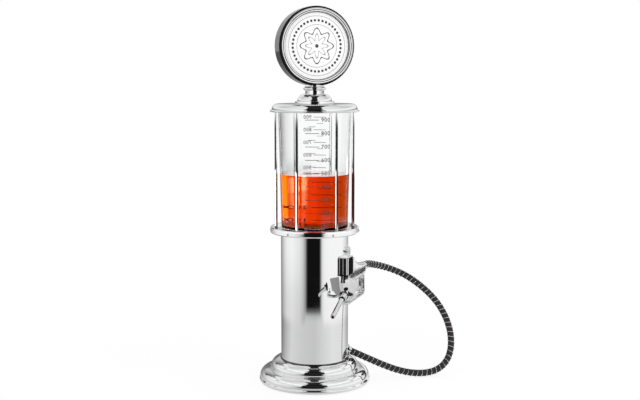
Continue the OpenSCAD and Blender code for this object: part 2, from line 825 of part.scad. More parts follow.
module bracket_screws() {
    color("#a8a8ac") for (z = bracket_spots) translate([saddle_face, 0, z])
        cone_screw(bracket_screw, bracket_thick + bracket_screw_bite, bracket_screw_head, scroll_rim);
}
module hose() {
    color("#181818") polyhedron(
        points = concat(
            [for (i = [0:hose_rings - 1]) each hose_ring(i / (hose_rings - 1), hose_radius, hose_sides)],
            [for (i = [0:hose_rings - 1]) each hose_ring(i / (hose_rings - 1), hose_bore, hose_sides)]),
        faces = pipe_faces(hose_rings, hose_sides));
}
module hose_wire() {
    color("#d8d8d8") polyhedron(
        points = [for (k = [-1:wire_count + 1]) each wire_ring(k)],
        faces = tube_faces(wire_count + 3, wire_sides));
}

// Gun
// Side outline of the head
module head_outline() {
    polygon([[head_joint, body_top], [tower_rear, body_top], [tower_rear, tower_seat],
        [tower_front, tower_seat], [brow_y, brow_z], [nose_top_y, nose_top_z], [nose_low_y, cheek_z],
        [head_joint - 2, cheek_z], [head_joint, cheek_z + 3]]);
}
// Front outline of the head, narrow below
module head_front() {
    polygon([[gun_x - gun_half, body_top + 1], [gun_x - gun_half, taper_z], [gun_x - taper_half, cheek_z - 1],
        [gun_x + taper_half, cheek_z - 1], [gun_x + gun_half, taper_z], [gun_x + gun_half, body_top + 1]]);
}
module head_mass() {
    intersection() {
        side(gun_x - gun_half, gun_x + gun_half) head_outline();
        front(brow_y - 5, head_joint) head_front();
    }
}
module nozzle_head() {
    color("#c8c8cc") difference() {
        union() {
            head_mass();
            block([gun_x - key_half, head_joint - cut, key_low],
                [gun_x + key_half, head_joint + tongue_key, key_high]);
        }
        on_spout() post(spout_radius + run_gap, 0, nose_reach + spout_nut_length);
        stand_rod(spout_bore, root_y, root_z, outlet_level);
        long_rod(outlet_bore, root_y, head_joint + 1, outlet_level);
        block([gun_x - lever_slot, slot_front, cheek_z - 1], [gun_x + lever_slot, head_joint + 1, slot_top]);
        cross_rod(pin_radius + run_gap, gun_x - pin_reach - slip, gun_x + pin_reach + slip, pin_y, pin_z);
        cross_rod(pin_radius + run_gap, gun_x, gun_x + gun_half + 1, pin_y, pin_z);
        stand_rod(guard_screw + run_gap, guard_screw_y, cheek_z - cut, cheek_z + guard_screw_lift + slip);
        wing_rivet_holes();
        handle_screw(3, grip_screw + run_gap);
    }
}
module gun_tower() {
    color("#a0a0a4") difference() {
        block([gun_x - tower_half, tower_front, tower_seat],
            [gun_x + tower_half, tower_rear, tower_seat + tower_height]);
        for (k = [-1:1]) translate([gun_x + k * rib_pitch, tower_front, tower_seat + rib_foot])
            block([-rib_width / 2, -cut, 0], [rib_width / 2, rib_depth, tower_height]);
        for (s = [-1, 1], k = [1:5])
            translate([gun_x + s * tower_half, tower_front + rib_pitch * k, tower_seat + rib_foot])
                block([-rib_depth, -rib_width / 2, 0], [rib_depth, rib_width / 2, tower_height]);
    }
}
// Outline of one splash wing in x and z, on the side of sign s
module wing_outline(s) {
    polygon([[gun_x + s * gun_half / 2, wing_high], [gun_x + s * wing_reach, wing_point],
        [gun_x + s * (wing_reach - 3), wing_waist], [gun_x + s * (wing_reach - 6), wing_low + 5],
        [gun_x + s * (wing_reach - 9), wing_low + 0.6], [gun_x + s * (wing_reach - 12), wing_low],
        [gun_x + s * gun_half / 2, wing_low + 2]]);
}
// Places of the two rivets
module wing_spots() {
    for (s = [-1, 1])
        translate([gun_x + s * gun_half, wing_y + wing_foot - 3, (wing_foot_low + wing_foot_high) / 2])
            rotate([0, s * 90, 0]) children();
}
module wing_rivet_holes() {
    wing_spots() post(rivet_radius + run_gap, -3 - slip, 1);
}
module splash_wings() {
    color("#b0b0b4") difference() {
        union() {
            front(wing_y, wing_y + wing_thick) for (s = [-1, 1]) wing_outline(s);
            for (s = [-1, 1]) translate([gun_x + s * gun_half, wing_y, wing_foot_low])
                block([min(0, s * wing_thick), 0, 0],
                    [max(0, s * wing_thick), wing_foot, wing_foot_high - wing_foot_low]);
        }
        front(brow_y - 2 * brow_reach, head_joint) head_front();
        wing_spots() post(rivet_radius + run_gap, -1, wing_thick + 1);
    }
}
module wing_rivets() {
    color("#909094") wing_spots() {
        post(rivet_radius, -3, wing_thick + 0.3);
        post(rivet_head, wing_thick, wing_thick + 0.8);
    }
}
// Side outline of the handle
module handle_outline() {
    polygon([[handle_rear, gun_z + ferrule_radius], [shoulder_y, shoulder_z], [crest_y, body_top],
        [head_joint, body_top], [head_joint, handle_low_front], [handle_flat, handle_low_rear],
        [handle_rear, handle_low_rear]]);
}
// One screw through the handle, or its hole
module handle_screw(i, r) {
    cross_rod(r, gun_x - gun_half + 1.5, gun_x + gun_half, grip_spots[i][0], grip_spots[i][1]);
}
// Everything that the handle is hollowed for
module handle_hollow() {
    block([gun_x - block_half - slip, head_joint - 1, block_low - slip],
        [gun_x + block_half + slip, block_rear + slip, block_high + slip]);
    long_rod(spigot_radius + slip, block_rear - 1, handle_rear + 1, gun_z);
    stand_rod(stem_radius + free_gap, stem_y, handle_low_front - 2, block_low);
    block([gun_x - key_half - slip, head_joint - 1, key_low - slip],
        [gun_x + key_half + slip, head_joint + tongue_key + slip, key_high + slip]);
    for (i = [0:3]) {
        handle_screw(i, grip_screw + run_gap);
        cross_rod(grip_head + run_gap, gun_x + gun_half - grip_head_height, gun_x + gun_half + 1,
            grip_spots[i][0], grip_spots[i][1]);
    }
    stand_rod(guard_screw + run_gap, guard_tail_y, handle_low_rear - cut,
        handle_low_rear + guard_tail_lift + slip);
}
// Channel that slides down over the hanging tongue, open at the handle's underside
module tongue_way() {
    block([hanger_face - cut, -tongue_stem_half - free_gap, hanger_low - cut],
        [tongue_neck, tongue_stem_half + free_gap, tongue_top + run_gap]);
    block([tongue_neck - free_gap, -tongue_head_half - free_gap, handle_low_front - cut],
        [tongue_neck + tongue_head + free_gap, tongue_head_half + free_gap, tongue_top + run_gap]);
}
module handle_left() {
    color("#c8c8cc") difference() {
        union() {
            side(gun_x - gun_half, gun_x) handle_outline();
            block([hanger_face, -hanger_half, hanger_low], [gun_x - gun_half + cut, hanger_half, hanger_high]);
        }
        tongue_way();
        handle_hollow();
    }
}
module handle_right() {
    color("#c8c8cc") difference() {
        side(gun_x, gun_x + gun_half) handle_outline();
        handle_hollow();
    }
}
module gun_screws() {
    color("#888888") for (i = [0:3]) {
        handle_screw(i, grip_screw);
        cross_rod(grip_head, gun_x + gun_half - grip_head_height, gun_x + gun_half,
            grip_spots[i][0], grip_spots[i][1]);
    }
}
module valve_block() {
    color("#c8a850") difference() {
        block([gun_x - block_half, head_joint, block_low], [gun_x + block_half, block_rear, block_high]);
        stand_rod(stem_radius + run_gap, stem_y, block_low - 1, throat_top);
        stand_rod(throat_radius, stem_y, block_low + gland_height, throat_top + 1);
        stand_rod(chamber_radius, stem_y, throat_top, chamber_top + 1);
        stand_rod(plug_radius + run_gap, stem_y, chamber_top, block_high + 1);
        long_rod(spigot_bore, stem_y, block_rear + 1, gun_z);
        long_rod(outlet_bore, head_joint - 1, stem_y, outlet_level);
    }
}
module valve_plug() {
    color("#b09040") stand_rod(plug_radius, stem_y, chamber_top, block_high);
}
module valve_spring() {
    color("#b8b8bc") polyhedron(
        points = [for (k = [0:spring_count]) each spring_ring(k)],
        faces = tube_faces(spring_count + 1, wire_sides));
}
module spout() {
    color("#d8d8dc") on_spout() difference() {
        post(spout_radius, 0, spout_length);
        post(spout_bore, -1, spout_length + 1);
    }
}
module spout_nut() {
    color("#c0c0c4") on_spout() difference() {
        translate([0, 0, nose_reach])
            cylinder(r1 = nose_half - 1.3, r2 = spout_radius + 1.4, h = spout_nut_length);
        post(spout_radius + run_gap, nose_reach - cut, nose_reach + spout_nut_length + cut);
    }
}
module hose_ferrule() {
    color("#d8d8dc") difference() {
        union() {
            long_rod(spigot_radius, block_rear + slip, handle_rear + 1, gun_z);
            translate([gun_x, handle_rear, gun_z]) rotate([-90, 0, 0])
                cylinder(r1 = ferrule_radius, r2 = ferrule_neck, h = ferrule_length);
        }
        long_rod(spigot_bore, block_rear - 1, handle_rear + ferrule_length + 1, gun_z);
    }
}
// Box with round corners in y and z
module soft_box(y0, y1, z0, z1, r) {
    translate([y0 + r, z0]) square([y1 - y0 - 2 * r, z1 - z0]);
    translate([y0, z0 + r]) square([y1 - y0, z1 - z0 - 2 * r]);
    for (y = [y0 + r, y1 - r], z = [z0 + r, z1 - r]) translate([y, z]) circle(r = r);
}
module trigger_guard() {
    color("#d0d0d4") difference() {
        side(gun_x - guard_half, gun_x + guard_half) difference() {
            soft_box(guard_front, guard_rear, guard_low, handle_low_rear, guard_corner);
            soft_box(guard_front + guard_thick, guard_rear - guard_thick, guard_low + guard_thick,
                handle_low_rear - guard_thick, guard_corner - guard_thick);
            translate([guard_front - cut, cheek_z])
                square([handle_flat - guard_front + cut, handle_low_rear - cheek_z + cut]);
        }
        stand_rod(guard_screw + run_gap, guard_tail_y, guard_low - cut, handle_low_rear + cut);
        stand_rod(guard_screw + run_gap, guard_screw_y, cheek_z - guard_thick - cut, cheek_z + cut);
    }
    color("#d0d0d4") difference() {
        block([gun_x - guard_half, guard_front + guard_thick - 0.5, cheek_z - guard_thick],
            [gun_x + guard_half, guard_front + flange_run, cheek_z]);
        stand_rod(guard_screw + run_gap, guard_screw_y, cheek_z - guard_thick - cut, cheek_z + cut);
    }
}
// Screw that points up, its head's seat at one height and its tip at another
module guard_screw_at(y, seat, tip) {
    stand_rod(guard_screw, y, seat - guard_screw_crown / 2, tip);
    stand_rod(guard_screw_head, y, seat - guard_screw_crown, seat);
}
module guard_screws() {
    color("#888888") {
        guard_screw_at(guard_screw_y, cheek_z - guard_thick, cheek_z + guard_screw_lift);
        guard_screw_at(guard_tail_y, handle_low_rear - guard_thick, handle_low_rear + guard_tail_lift);
    }
}
module trigger_pin() {
    color("#909094") cross_rod(pin_radius, gun_x - pin_reach, gun_x + pin_reach, pin_y, pin_z);
}
module trigger() {
    color("#505256") difference() {
        union() {
            cross_rod(eye_radius, gun_x - lever_half, gun_x + lever_half, pin_y, pin_z);
            side(gun_x - lever_half, gun_x + lever_half) polygon([[pin_y, lever_top], [lever_end, lever_top],
                [lever_end + tail_run - 2, lever_top - 2], [lever_end + tail_run, lever_low - tail_drop],
                [lever_end + tail_run - lever_thick, lever_low - tail_drop], [lever_end, lever_low],
                [pin_y, lever_low]]);
        }
        for (k = [0:2]) cross_rod(scallop, gun_x - lever_half - cut, gun_x + lever_half + cut,
            scallop_y + scallop_pitch * k, lever_low + scallop_depth - scallop);
        cross_rod(pin_radius + run_gap, gun_x - lever_half - cut, gun_x + lever_half + cut, pin_y, pin_z);
    }
}
module valve_stem() {
    color("#b8b8bc") union() {
        translate([gun_x, stem_y, stem_tip]) sphere(r = stem_radius);
        stand_rod(stem_radius, stem_y, stem_tip, poppet_top);
        stand_rod(poppet_radius, stem_y, poppet_low, poppet_top);
        stand_rod(guide_radius, stem_y, poppet_top - 0.5, poppet_top + guide_height);
    }
}
module valve_seal() {
    color("#303030") translate([gun_x, stem_y, 0])
        hoop(stem_radius + run_gap, poppet_radius - slip, throat_top + seat_gap, poppet_low);
}

// Lid, finial and sign
module lid() {
    color("#d8d8dc") rotate_extrude() polygon(concat(
        [[stud_radius + slip, lid_inside], [stud_radius + slip, lid_top]],
        bow(lid_shoulder, lid_top - lid_round, lid_round, 90, 0),
        bow(lip_radius, lip_z, lip_bead, 45, -180),
        bow(lid_shoulder, lid_top - lid_round, lid_round - lid_wall, 0, 90)));
}
module lid_seal() {
    color("#e0e0e0") hoop(seal_inner, seal_outer, tank_top, lid_inside);
}
module finial_base() {
    color("#d8d8dc") difference() {
        rotate_extrude() intersection() {
            union() {
                square([finial_flange - flange_edge, dome_center_z]);
                translate([0, lid_top + flange_edge]) square([finial_flange, flange_height - 2 * flange_edge]);
                for (z = [lid_top + flange_edge, dome_center_z - flange_edge])
                    translate([finial_flange - flange_edge, z]) circle(r = flange_edge);
                square([dome_center_r, neck_bottom]);
                translate([dome_center_r, dome_center_z]) circle(r = finial_round);
            }
            translate([0, lid_top]) square([finial_flange + 1, neck_bottom - lid_top]);
        }
        post(stud_radius + slip, lid_top - 1, neck_bottom + 1);
    }
}
// Axis of the sign, with its face towards -Y before it is turned
module on_sign() {
    rotate([0, 0, sign_turn]) translate([0, 0, sign_z]) rotate([90, 0, 0]) children();
}
module finial_stem() {
    color("#d8d8dc") difference() {
        rotate_extrude() union() {
            translate([0, neck_bottom]) square([finial_neck, finial_neck_height + 1.6]);
            translate([finial_neck, neck_bead_z]) circle(r = neck_bead);
        }
        on_sign() post(sign_radius, -sign_radius, sign_radius);
        post(stud_radius + slip, neck_bottom - 1, neck_top + 3);
    }
}
module sign_stud() {
    color("#909094") post(stud_radius, stud_bottom, stud_top);
}
module stud_nuts() {
    color("#888888") {
        for (z = [lid_inside - stud_nut_height - run_gap, drum_floor + stud_nut_lift]) difference() {
            translate([0, 0, z]) cylinder(r = stud_nut_radius, h = stud_nut_height, $fn = 6);
            post(stud_radius + run_gap, z - 1, z + stud_nut_height + 1);
        }
    }
}
module sign_drum() {
    color("#c8c8cc") difference() {
        on_sign() rotate_extrude() difference() {
            union() {
                translate([drum_bore - 1, -sign_depth / 2 + drum_round])
                    square([sign_wall + 1, sign_depth - 2 * drum_round]);
                translate([drum_bore - ledge_width, -sign_depth / 2])
                    square([sign_wall + ledge_width - drum_round, sign_depth]);
                for (a = [-1, 1]) intersection() {
                    translate([sign_radius - drum_round, a * (sign_depth / 2 - drum_round)])
                        circle(r = drum_round);
                    translate([drum_bore - ledge_width, -sign_depth]) square([sign_radius, 2 * sign_depth]);
                }
            }
            for (a = [-1, 1]) translate([drum_bore - ledge_width - 1, a > 0 ? ledge_far : -sign_depth / 2 - 1])
                square([ledge_width + 1, sign_depth / 2 + 1 - ledge_far]);
            translate([drum_bore - ledge_width - 1, -ledge_near]) square([ledge_width + 1, 2 * ledge_near]);
        }
        post(stud_radius + slip, sign_z - sign_radius - 1, sign_z);
    }
}
module sign_face() {
    color("#f4f4f0") on_sign() post(disc_radius, ledge_far, ledge_far + disc_thick);
}
module sign_back() {
    color("#d0d0d4") on_sign() post(disc_radius, -ledge_far - disc_thick, -ledge_far);
}
module sign_bezels() {
    color("#404246") on_sign() for (a = [ledge_far + disc_thick, -sign_depth / 2])
        hoop(disc_radius - bezel_width, disc_radius, a, a + sign_depth / 2 - ledge_far - disc_thick);
}

foot_pad();
base_plate();
base();
foot_ring();
column();
tie_rods();
tie_nuts();
collar();
collar_screws();
tank_seat();
cage_rods();
cage_ring();
rod_screws();
tank();
tank_gasket();
drain_union();
drain_nut();
drain_tube();
outlet_fitting();
outlet_nut();
gun_bracket();
bracket_screws();
hose();
hose_wire();
nozzle_head();
gun_tower();
splash_wings();
wing_rivets();
handle_left();
handle_right();
gun_screws();
valve_block();
valve_plug();
valve_spring();
spout();
spout_nut();
hose_ferrule();
trigger_guard();
guard_screws();
trigger_pin();
trigger();
valve_stem();
valve_seal();
lid();
lid_seal();
finial_base();
finial_stem();
sign_stud();
stud_nuts();
sign_drum();
sign_face();
sign_back();
sign_bezels();
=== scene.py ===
"""Looks of a drink dispenser shaped like a fuel pump: chrome stand, clear tank, round sign, small nozzle gun."""
import math

import bmesh
import bpy
import numpy as np
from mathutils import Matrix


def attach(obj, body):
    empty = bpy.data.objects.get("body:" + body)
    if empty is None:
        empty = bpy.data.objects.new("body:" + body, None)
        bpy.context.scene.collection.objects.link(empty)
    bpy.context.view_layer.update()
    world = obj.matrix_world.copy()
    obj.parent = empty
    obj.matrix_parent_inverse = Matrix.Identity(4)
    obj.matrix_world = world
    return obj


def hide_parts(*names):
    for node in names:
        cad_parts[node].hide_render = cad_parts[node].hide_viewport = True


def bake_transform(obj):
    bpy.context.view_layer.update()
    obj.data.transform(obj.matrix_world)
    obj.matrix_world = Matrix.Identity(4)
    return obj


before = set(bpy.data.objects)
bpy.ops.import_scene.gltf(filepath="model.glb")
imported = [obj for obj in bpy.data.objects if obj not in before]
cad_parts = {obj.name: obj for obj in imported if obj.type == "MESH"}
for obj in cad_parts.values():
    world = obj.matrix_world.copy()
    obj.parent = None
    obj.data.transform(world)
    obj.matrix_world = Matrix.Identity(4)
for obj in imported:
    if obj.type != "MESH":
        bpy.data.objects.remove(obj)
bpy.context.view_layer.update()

bl_info = {
    "name": "Drink dispenser looks",
    "version": (1, 0, 0),
    "blender": (4, 5, 0),
    "location": "View3D > Sidebar > Dispenser",
    "description": "Dresses the drink dispenser's frame with its surfaces, finishes and stage",
    "category": "Object",
}

MM = 0.001


# Sizes and colours that a user would change

class DispenserSizes(bpy.types.PropertyGroup):
    liquor_level: bpy.props.FloatProperty(
        name="Liquor level", description="Height of the liquor's surface above the table",
        default=0.2815, unit="LENGTH")
    scale_first: bpy.props.FloatProperty(
        name="First mark", description="Height of the tank's 100 mark", default=0.2166, unit="LENGTH")
    scale_step: bpy.props.FloatProperty(
        name="Mark step", description="Height between two hundreds", default=0.0172, unit="LENGTH")
    scale_turn: bpy.props.FloatProperty(
        name="Scale turn", description="Angle of the long marks round the tank",
        default=math.radians(-75.0), subtype="ANGLE")
    wire_turns: bpy.props.IntProperty(
        name="Wire turns", description="Turns of the bright wire round the hose", default=57)
    camera_turn: bpy.props.FloatProperty(
        name="Camera turn", description="Angle of the camera round the stand",
        default=math.radians(19.0), subtype="ANGLE")
    camera_reach: bpy.props.FloatProperty(
        name="Camera reach", description="Level distance from the stand's axis to the camera",
        default=1.390, unit="LENGTH")
    camera_height: bpy.props.FloatProperty(
        name="Camera height", description="Height of the camera", default=0.412, unit="LENGTH")
    camera_dip: bpy.props.FloatProperty(
        name="Camera dip", description="How far the camera looks down",
        default=math.radians(6.81), subtype="ANGLE")


class DispenserColours(bpy.types.PropertyGroup):
    chrome: bpy.props.FloatVectorProperty(
        name="Chrome", description="Tint of the polished plating", size=3, subtype="COLOR",
        default=(0.93, 0.932, 0.938))
    liquor: bpy.props.FloatVectorProperty(
        name="Liquor", description="Colour that the liquor lets through", size=3, subtype="COLOR",
        default=(0.999, 0.853, 0.0))
    liquor_depth: bpy.props.FloatProperty(
        name="Liquor depth", description="Strength of the liquor's colour", default=250.0)
    rubber: bpy.props.FloatVectorProperty(
        name="Rubber", description="Black of the hose", size=3, subtype="COLOR",
        default=(0.012, 0.012, 0.014))
    sign_white: bpy.props.FloatVectorProperty(
        name="Sign white", description="Ground of the sign's face", size=3, subtype="COLOR",
        default=(0.93, 0.93, 0.93))
    ink: bpy.props.FloatVectorProperty(
        name="Ink", description="Printed marks", size=3, subtype="COLOR", default=(0.03, 0.03, 0.032))


def sizes():
    return bpy.context.scene.dispenser_sizes


def colours():
    return bpy.context.scene.dispenser_colours


# Outlines and surfaces, all in millimetres until they become a mesh

X, Y, Z = np.eye(3)

# Facets round turned pieces of four sizes, and round a wire
SIDES_LARGE, SIDES_MIDDLE, SIDES_SMALL, SIDES_SLIM = 224, 192, 160, 64
WIRE_SIDES = 8


def bow(centre, radius, start, end, steps):
    """Arc points: centre + radius * (cos a, sin a), a spread evenly from start to end in degrees; two radii
    make it an oval's arc."""
    a = np.radians(np.linspace(start, end, steps + 1))
    return np.asarray(centre, float) + np.asarray(radius, float) * np.stack([np.cos(a), np.sin(a)], axis=1)


def chain(*stretches):
    """One outline from arcs and corner points laid end to end."""
    return np.concatenate([np.atleast_2d(np.asarray(s, float)) for s in stretches])


def oblong(x0, x1, y0, y1):
    """Corner points of a rectangle, from its lower left one on."""
    return [(x0, y0), (x1, y0), (x1, y1), (x0, y1)]


def unit(ways):
    """Each row divided by its own length."""
    return ways / np.linalg.norm(ways, axis=1, keepdims=True)


def heading(path):
    """Unit way along a path at each of its points, from the difference of its neighbours."""
    return unit(np.gradient(path, axis=0))


def soften(corners, cut, steps=6):
    """Closed outline with rounded corners: corner c gives way to (1-s)^2 a + 2s(1-s) c + s^2 b,
    where a and b lie on its two sides at the distance cut."""
    corners = np.asarray(corners, float)
    cut = np.broadcast_to(np.asarray(cut, float), len(corners))[:, None]
    back = np.roll(corners, 1, axis=0) - corners
    ahead = np.roll(corners, -1, axis=0) - corners
    a = corners + cut * back / np.linalg.norm(back, axis=1, keepdims=True)
    b = corners + cut * ahead / np.linalg.norm(ahead, axis=1, keepdims=True)
    s = np.linspace(0, 1, steps + 1)[None, :, None]
    curve = (1 - s) ** 2 * a[:, None] + 2 * s * (1 - s) * corners[:, None] + s ** 2 * b[:, None]
    return curve.reshape(-1, corners.shape[1])


def soft_path(corners, cut, steps):
    """Open path with the same rounded corners, its two ends kept."""
    corners = np.asarray(corners, float)
    middle = soften(corners, np.concatenate([[0.01], np.broadcast_to(cut, len(corners) - 2), [0.01]]), steps)
    return np.concatenate([corners[:1], middle[steps + 1:-(steps + 1)], corners[-1:]])


def grid_faces(rows, columns, wrap_rows=False, wrap_columns=True):
    """Four-sided faces of a grid of rows by columns of points, joined round where asked."""
    r, c = np.meshgrid(np.arange(rows if wrap_rows else rows - 1),
                       np.arange(columns if wrap_columns else columns - 1), indexing="ij")
    r2, c2 = (r + 1) % rows, (c + 1) % columns
    faces = np.stack([r * columns + c, r * columns + c2, r2 * columns + c2, r2 * columns + c], axis=-1)
    return faces.reshape(-1, 4).tolist()


def rings_at(outline, a):
    """Grid of the points (r cos a, r sin a, h), for each outline point (r, h) and each angle a."""
    r, h = outline[:, :1], outline[:, 1:]
    return np.stack([r * np.cos(a), r * np.sin(a), np.repeat(h, len(a), axis=1)], axis=-1)


def turned(outline, sides, closed=True):
    """Turned surface: each outline point (r, h) makes the ring (r cos a, r sin a, h).
    An open outline starts and ends on the axis, where a fan of triangles closes it."""
    outline = np.asarray(outline, float)
    rings = outline if closed else outline[1:-1]
    points = rings_at(rings, np.linspace(0, 2 * np.pi, sides, endpoint=False)).reshape(-1, 3)
    faces = grid_faces(len(rings), sides, wrap_rows=closed)
    if not closed:
        poles = np.array([[0, 0, outline[0, 1]], [0, 0, outline[-1, 1]]])
        n, i = len(points), np.arange(sides)
        last = (len(rings) - 1) * sides
        points = np.concatenate([points, poles])
        faces += np.stack([np.full(sides, n), (i + 1) % sides, i], axis=1).tolist()
        faces += np.stack([np.full(sides, n + 1), last + i, last + (i + 1) % sides], axis=1).tolist()
    return points, faces


def stacked(sections):
    """Closed body through a stack of like sections, (rows, columns, 3), with a flat face at each end."""
    rows, columns = sections.shape[:2]
    faces = grid_faces(rows, columns)
    faces += [np.arange(columns)[::-1].tolist(), (np.arange(columns) + (rows - 1) * columns).tolist()]
    return sections.reshape(-1, 3), faces


def plate(outline, low, high, edge, steps=4):
    """Flat slab with rounded rims: the outline is stacked from low to high, and near both ends it is drawn
    in along its own normals by edge * (1 - sin t) while it rises by edge * (1 - cos t)."""
    outline = np.asarray(outline, float)
    along = np.roll(outline, -1, axis=0) - np.roll(outline, 1, axis=0)
    normal = np.stack([along[:, 1], -along[:, 0]], axis=1)
    normal /= np.maximum(np.linalg.norm(normal, axis=1, keepdims=True), 1e-9)
    turn = np.sum(outline[:, 0] * np.roll(outline[:, 1], -1) - np.roll(outline[:, 0], -1) * outline[:, 1])
    normal *= 1.0 if turn > 0 else -1.0
    t = np.linspace(0, np.pi / 2, steps + 1)
    inset = np.concatenate([edge * (1 - np.sin(t)), edge * (1 - np.sin(t[::-1]))])
    height = np.concatenate([low + edge * (1 - np.cos(t)), high - edge * (1 - np.cos(t[::-1]))])
    flat = outline[None] - inset[:, None, None] * normal[None]
    up = np.broadcast_to(height[:, None, None], flat.shape[:2] + (1,))
    return stacked(np.concatenate([flat, up], axis=2))


def carried(path, side, up, section):
    """Section carried along a path: point = path + u * side + v * up for each section point (u, v)."""
    return stacked(path[:, None] + section[None, :, :1] * side[:, None] + section[None, :, 1:] * up[:, None])


def circle(radius, sides):
    """Points of a circle: radius * (cos a, sin a)."""
    a = np.linspace(0, 2 * np.pi, sides, endpoint=False)
    return radius * np.stack([np.cos(a), np.sin(a)], axis=1)


def wound(line, out, reach, radius):
    """Round wire wound about a line: it runs at line + reach * out, with its section across that run."""
    run = line + reach * out
    return carried(run, out, np.cross(heading(run), out), circle(radius, WIRE_SIDES))


def set_at(shape, origin, x, y, z):
    """The same surface in another place: origin + px x + py y + pz z."""
    points, faces = shape
    return np.asarray(origin, float) + points @ np.array([x, y, z], float), faces


def put(name, body, nodes, shapes, finishes, sharp=32.0, outwards=True):
    """One mesh piece from surfaces given as (points, faces) or (points, faces, finish number). On a piece
    that goes on a body, normals are weighed by face area, so that a rounded rim doesn't bend the shine of the flat
    beside it."""
    points, faces, numbers, first = [], [], [], 0
    for shape in shapes:
        points.append(shape[0])
        faces += [[i + first for i in f] for f in shape[1]]
        number = shape[2] if len(shape) > 2 else 0
        numbers.append(np.broadcast_to(np.asarray(number, np.int32), len(shape[1])))
        first += len(shape[0])
    mesh = bpy.data.meshes.new(name)
    mesh.from_pydata((np.concatenate(points) * MM).tolist(), [], faces)
    mesh.polygons.foreach_set("material_index", np.concatenate(numbers).astype(np.int32))
    mesh.polygons.foreach_set("use_smooth", np.ones(len(mesh.polygons), dtype=bool))
    if outwards:
        work = bmesh.new()
        work.from_mesh(mesh)
        bmesh.ops.recalc_face_normals(work, faces=work.faces)
        work.to_mesh(mesh)
        work.free()
    mesh.set_sharp_from_angle(angle=math.radians(sharp))
    for finish in finishes:
        mesh.materials.append(finish)
    piece = bpy.data.objects.new(name, mesh)
    bpy.context.scene.collection.objects.link(piece)
    if body:
        piece.modifiers.new("weigh_normals", "WEIGHTED_NORMAL").keep_sharp = True
        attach(piece, body)
    if nodes:
        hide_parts(*nodes)
    return piece


def dress(nodes, finish):
    """Gives frame nodes that keep their own shape a finish."""
    for name in nodes:
        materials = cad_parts[name].data.materials
        materials.clear()
        materials.append(finish)


# Shared shader group, and short ways to set nodes up

# Sockets of a Mix node's two colours and of their mixture
MIX_A, MIX_B, MIX_OUT = 6, 7, 2

# How much finer the bump's noise is than the haze's, and its depth
FINER, BUMP_DEPTH = 14.0, 0.0003


def add_nodes(tree, *kinds):
    """New shader nodes of the given kinds."""
    return [tree.nodes.new("ShaderNode" + kind) for kind in kinds]


def preset(node, **values):
    """Values of a node's inputs, where _ stands for a space in a socket's name."""
    for socket, value in values.items():
        node.inputs[socket.replace("_", " ")].default_value = value


def join(tree, *rows):
    """Links of a tree, each row as from node, its output, to node, its input."""
    for source, output, target, entry in rows:
        tree.links.new(source.outputs[output], target.inputs[entry])


def new_finish(name):
    """New material and its node tree."""
    made = bpy.data.materials.new(name)
    made.use_nodes = True
    return made, made.node_tree


def handling_marks():
    """Faint wipes and haze: two noises of the place on the piece give a roughness between Low and High,
    a fine height and a slow drift from one tint to another."""
    if "Handling marks" in bpy.data.node_groups:
        return bpy.data.node_groups["Handling marks"]
    made = bpy.data.node_groups.new("Handling marks", "ShaderNodeTree")
    number, shade = "NodeSocketFloat", "NodeSocketColor"
    for label, kind, value in (("Grain", number, 60.0), ("Low", number, 0.03), ("High", number, 0.08),
                               ("Tint", shade, (0.8, 0.8, 0.8, 1)), ("Worn tint", shade, (0.7, 0.7, 0.7, 1))):
        made.interface.new_socket(name=label, in_out="INPUT", socket_type=kind).default_value = value
    for label, kind in (("Roughness", number), ("Height", number), ("Colour", shade)):
        made.interface.new_socket(name=label, in_out="OUTPUT", socket_type=kind)
    take, give = made.nodes.new("NodeGroupInput"), made.nodes.new("NodeGroupOutput")
    place, wide, fine, spread, more, tint = add_nodes(made, "TexCoord", "TexNoise", "TexNoise", "MapRange", "Math",
                                                      "Mix")
    more.operation, more.inputs[1].default_value, tint.data_type = "MULTIPLY", FINER, "RGBA"
    preset(wide, Detail=5.0)
    preset(spread, From_Min=0.35, From_Max=0.68)
    join(made, (place, "Object", wide, "Vector"), (place, "Object", fine, "Vector"),
         (take, "Grain", wide, "Scale"), (take, "Grain", more, 0), (more, 0, fine, "Scale"),
         (wide, 0, spread, "Value"), (take, "Low", spread, "To Min"), (take, "High", spread, "To Max"),
         (wide, 0, tint, "Factor"), (take, "Tint", tint, MIX_A), (take, "Worn tint", tint, MIX_B),
         (spread, 0, give, "Roughness"), (fine, 0, give, "Height"), (tint, MIX_OUT, give, "Colour"))
    return made


def marked(name, tint, worn, low, high, grain, metal=0.0, bump=0.0, **fixed):
    """Finish whose tint, roughness from low to high and fine bump come from the shared handling marks."""
    if name in bpy.data.materials:
        return bpy.data.materials[name]
    made, tree = new_finish(name)
    shader, (marks,) = tree.nodes["Principled BSDF"], add_nodes(tree, "Group")
    marks.node_tree = handling_marks()
    preset(marks, Grain=grain, Low=low, High=high, Tint=(*tint, 1), Worn_tint=(*worn, 1))
    preset(shader, Metallic=metal, **fixed)
    join(tree, (marks, "Colour", shader, "Base Color"), (marks, "Roughness", shader, "Roughness"))
    if bump:
        (ridge,) = add_nodes(tree, "Bump")
        preset(ridge, Strength=bump, Distance=BUMP_DEPTH)
        join(tree, (marks, "Height", ridge, "Height"), (ridge, 0, shader, "Normal"))
    return made


# Finishes

def chrome():
    tint = tuple(colours().chrome)
    return marked("polished_chrome", tint, tuple(v * 0.94 for v in tint), 0.02, 0.07, 45.0, 1.0)


def dark_chrome():
    # Darkened chrome that stands for shade: painted shade at the column's foot and under the drink, painted dark
    # reflection on the sign's flank
    return marked("chrome_with_painted_shade", (0.16, 0.16, 0.17), (0.09, 0.09, 0.1), 0.12, 0.24, 90.0, 1.0)


def cast_chrome():
    tint = tuple(colours().chrome)
    return marked("cast_chrome", tint, tuple(v * 0.86 for v in tint), 0.05, 0.14, 120.0, 1.0, 0.05)


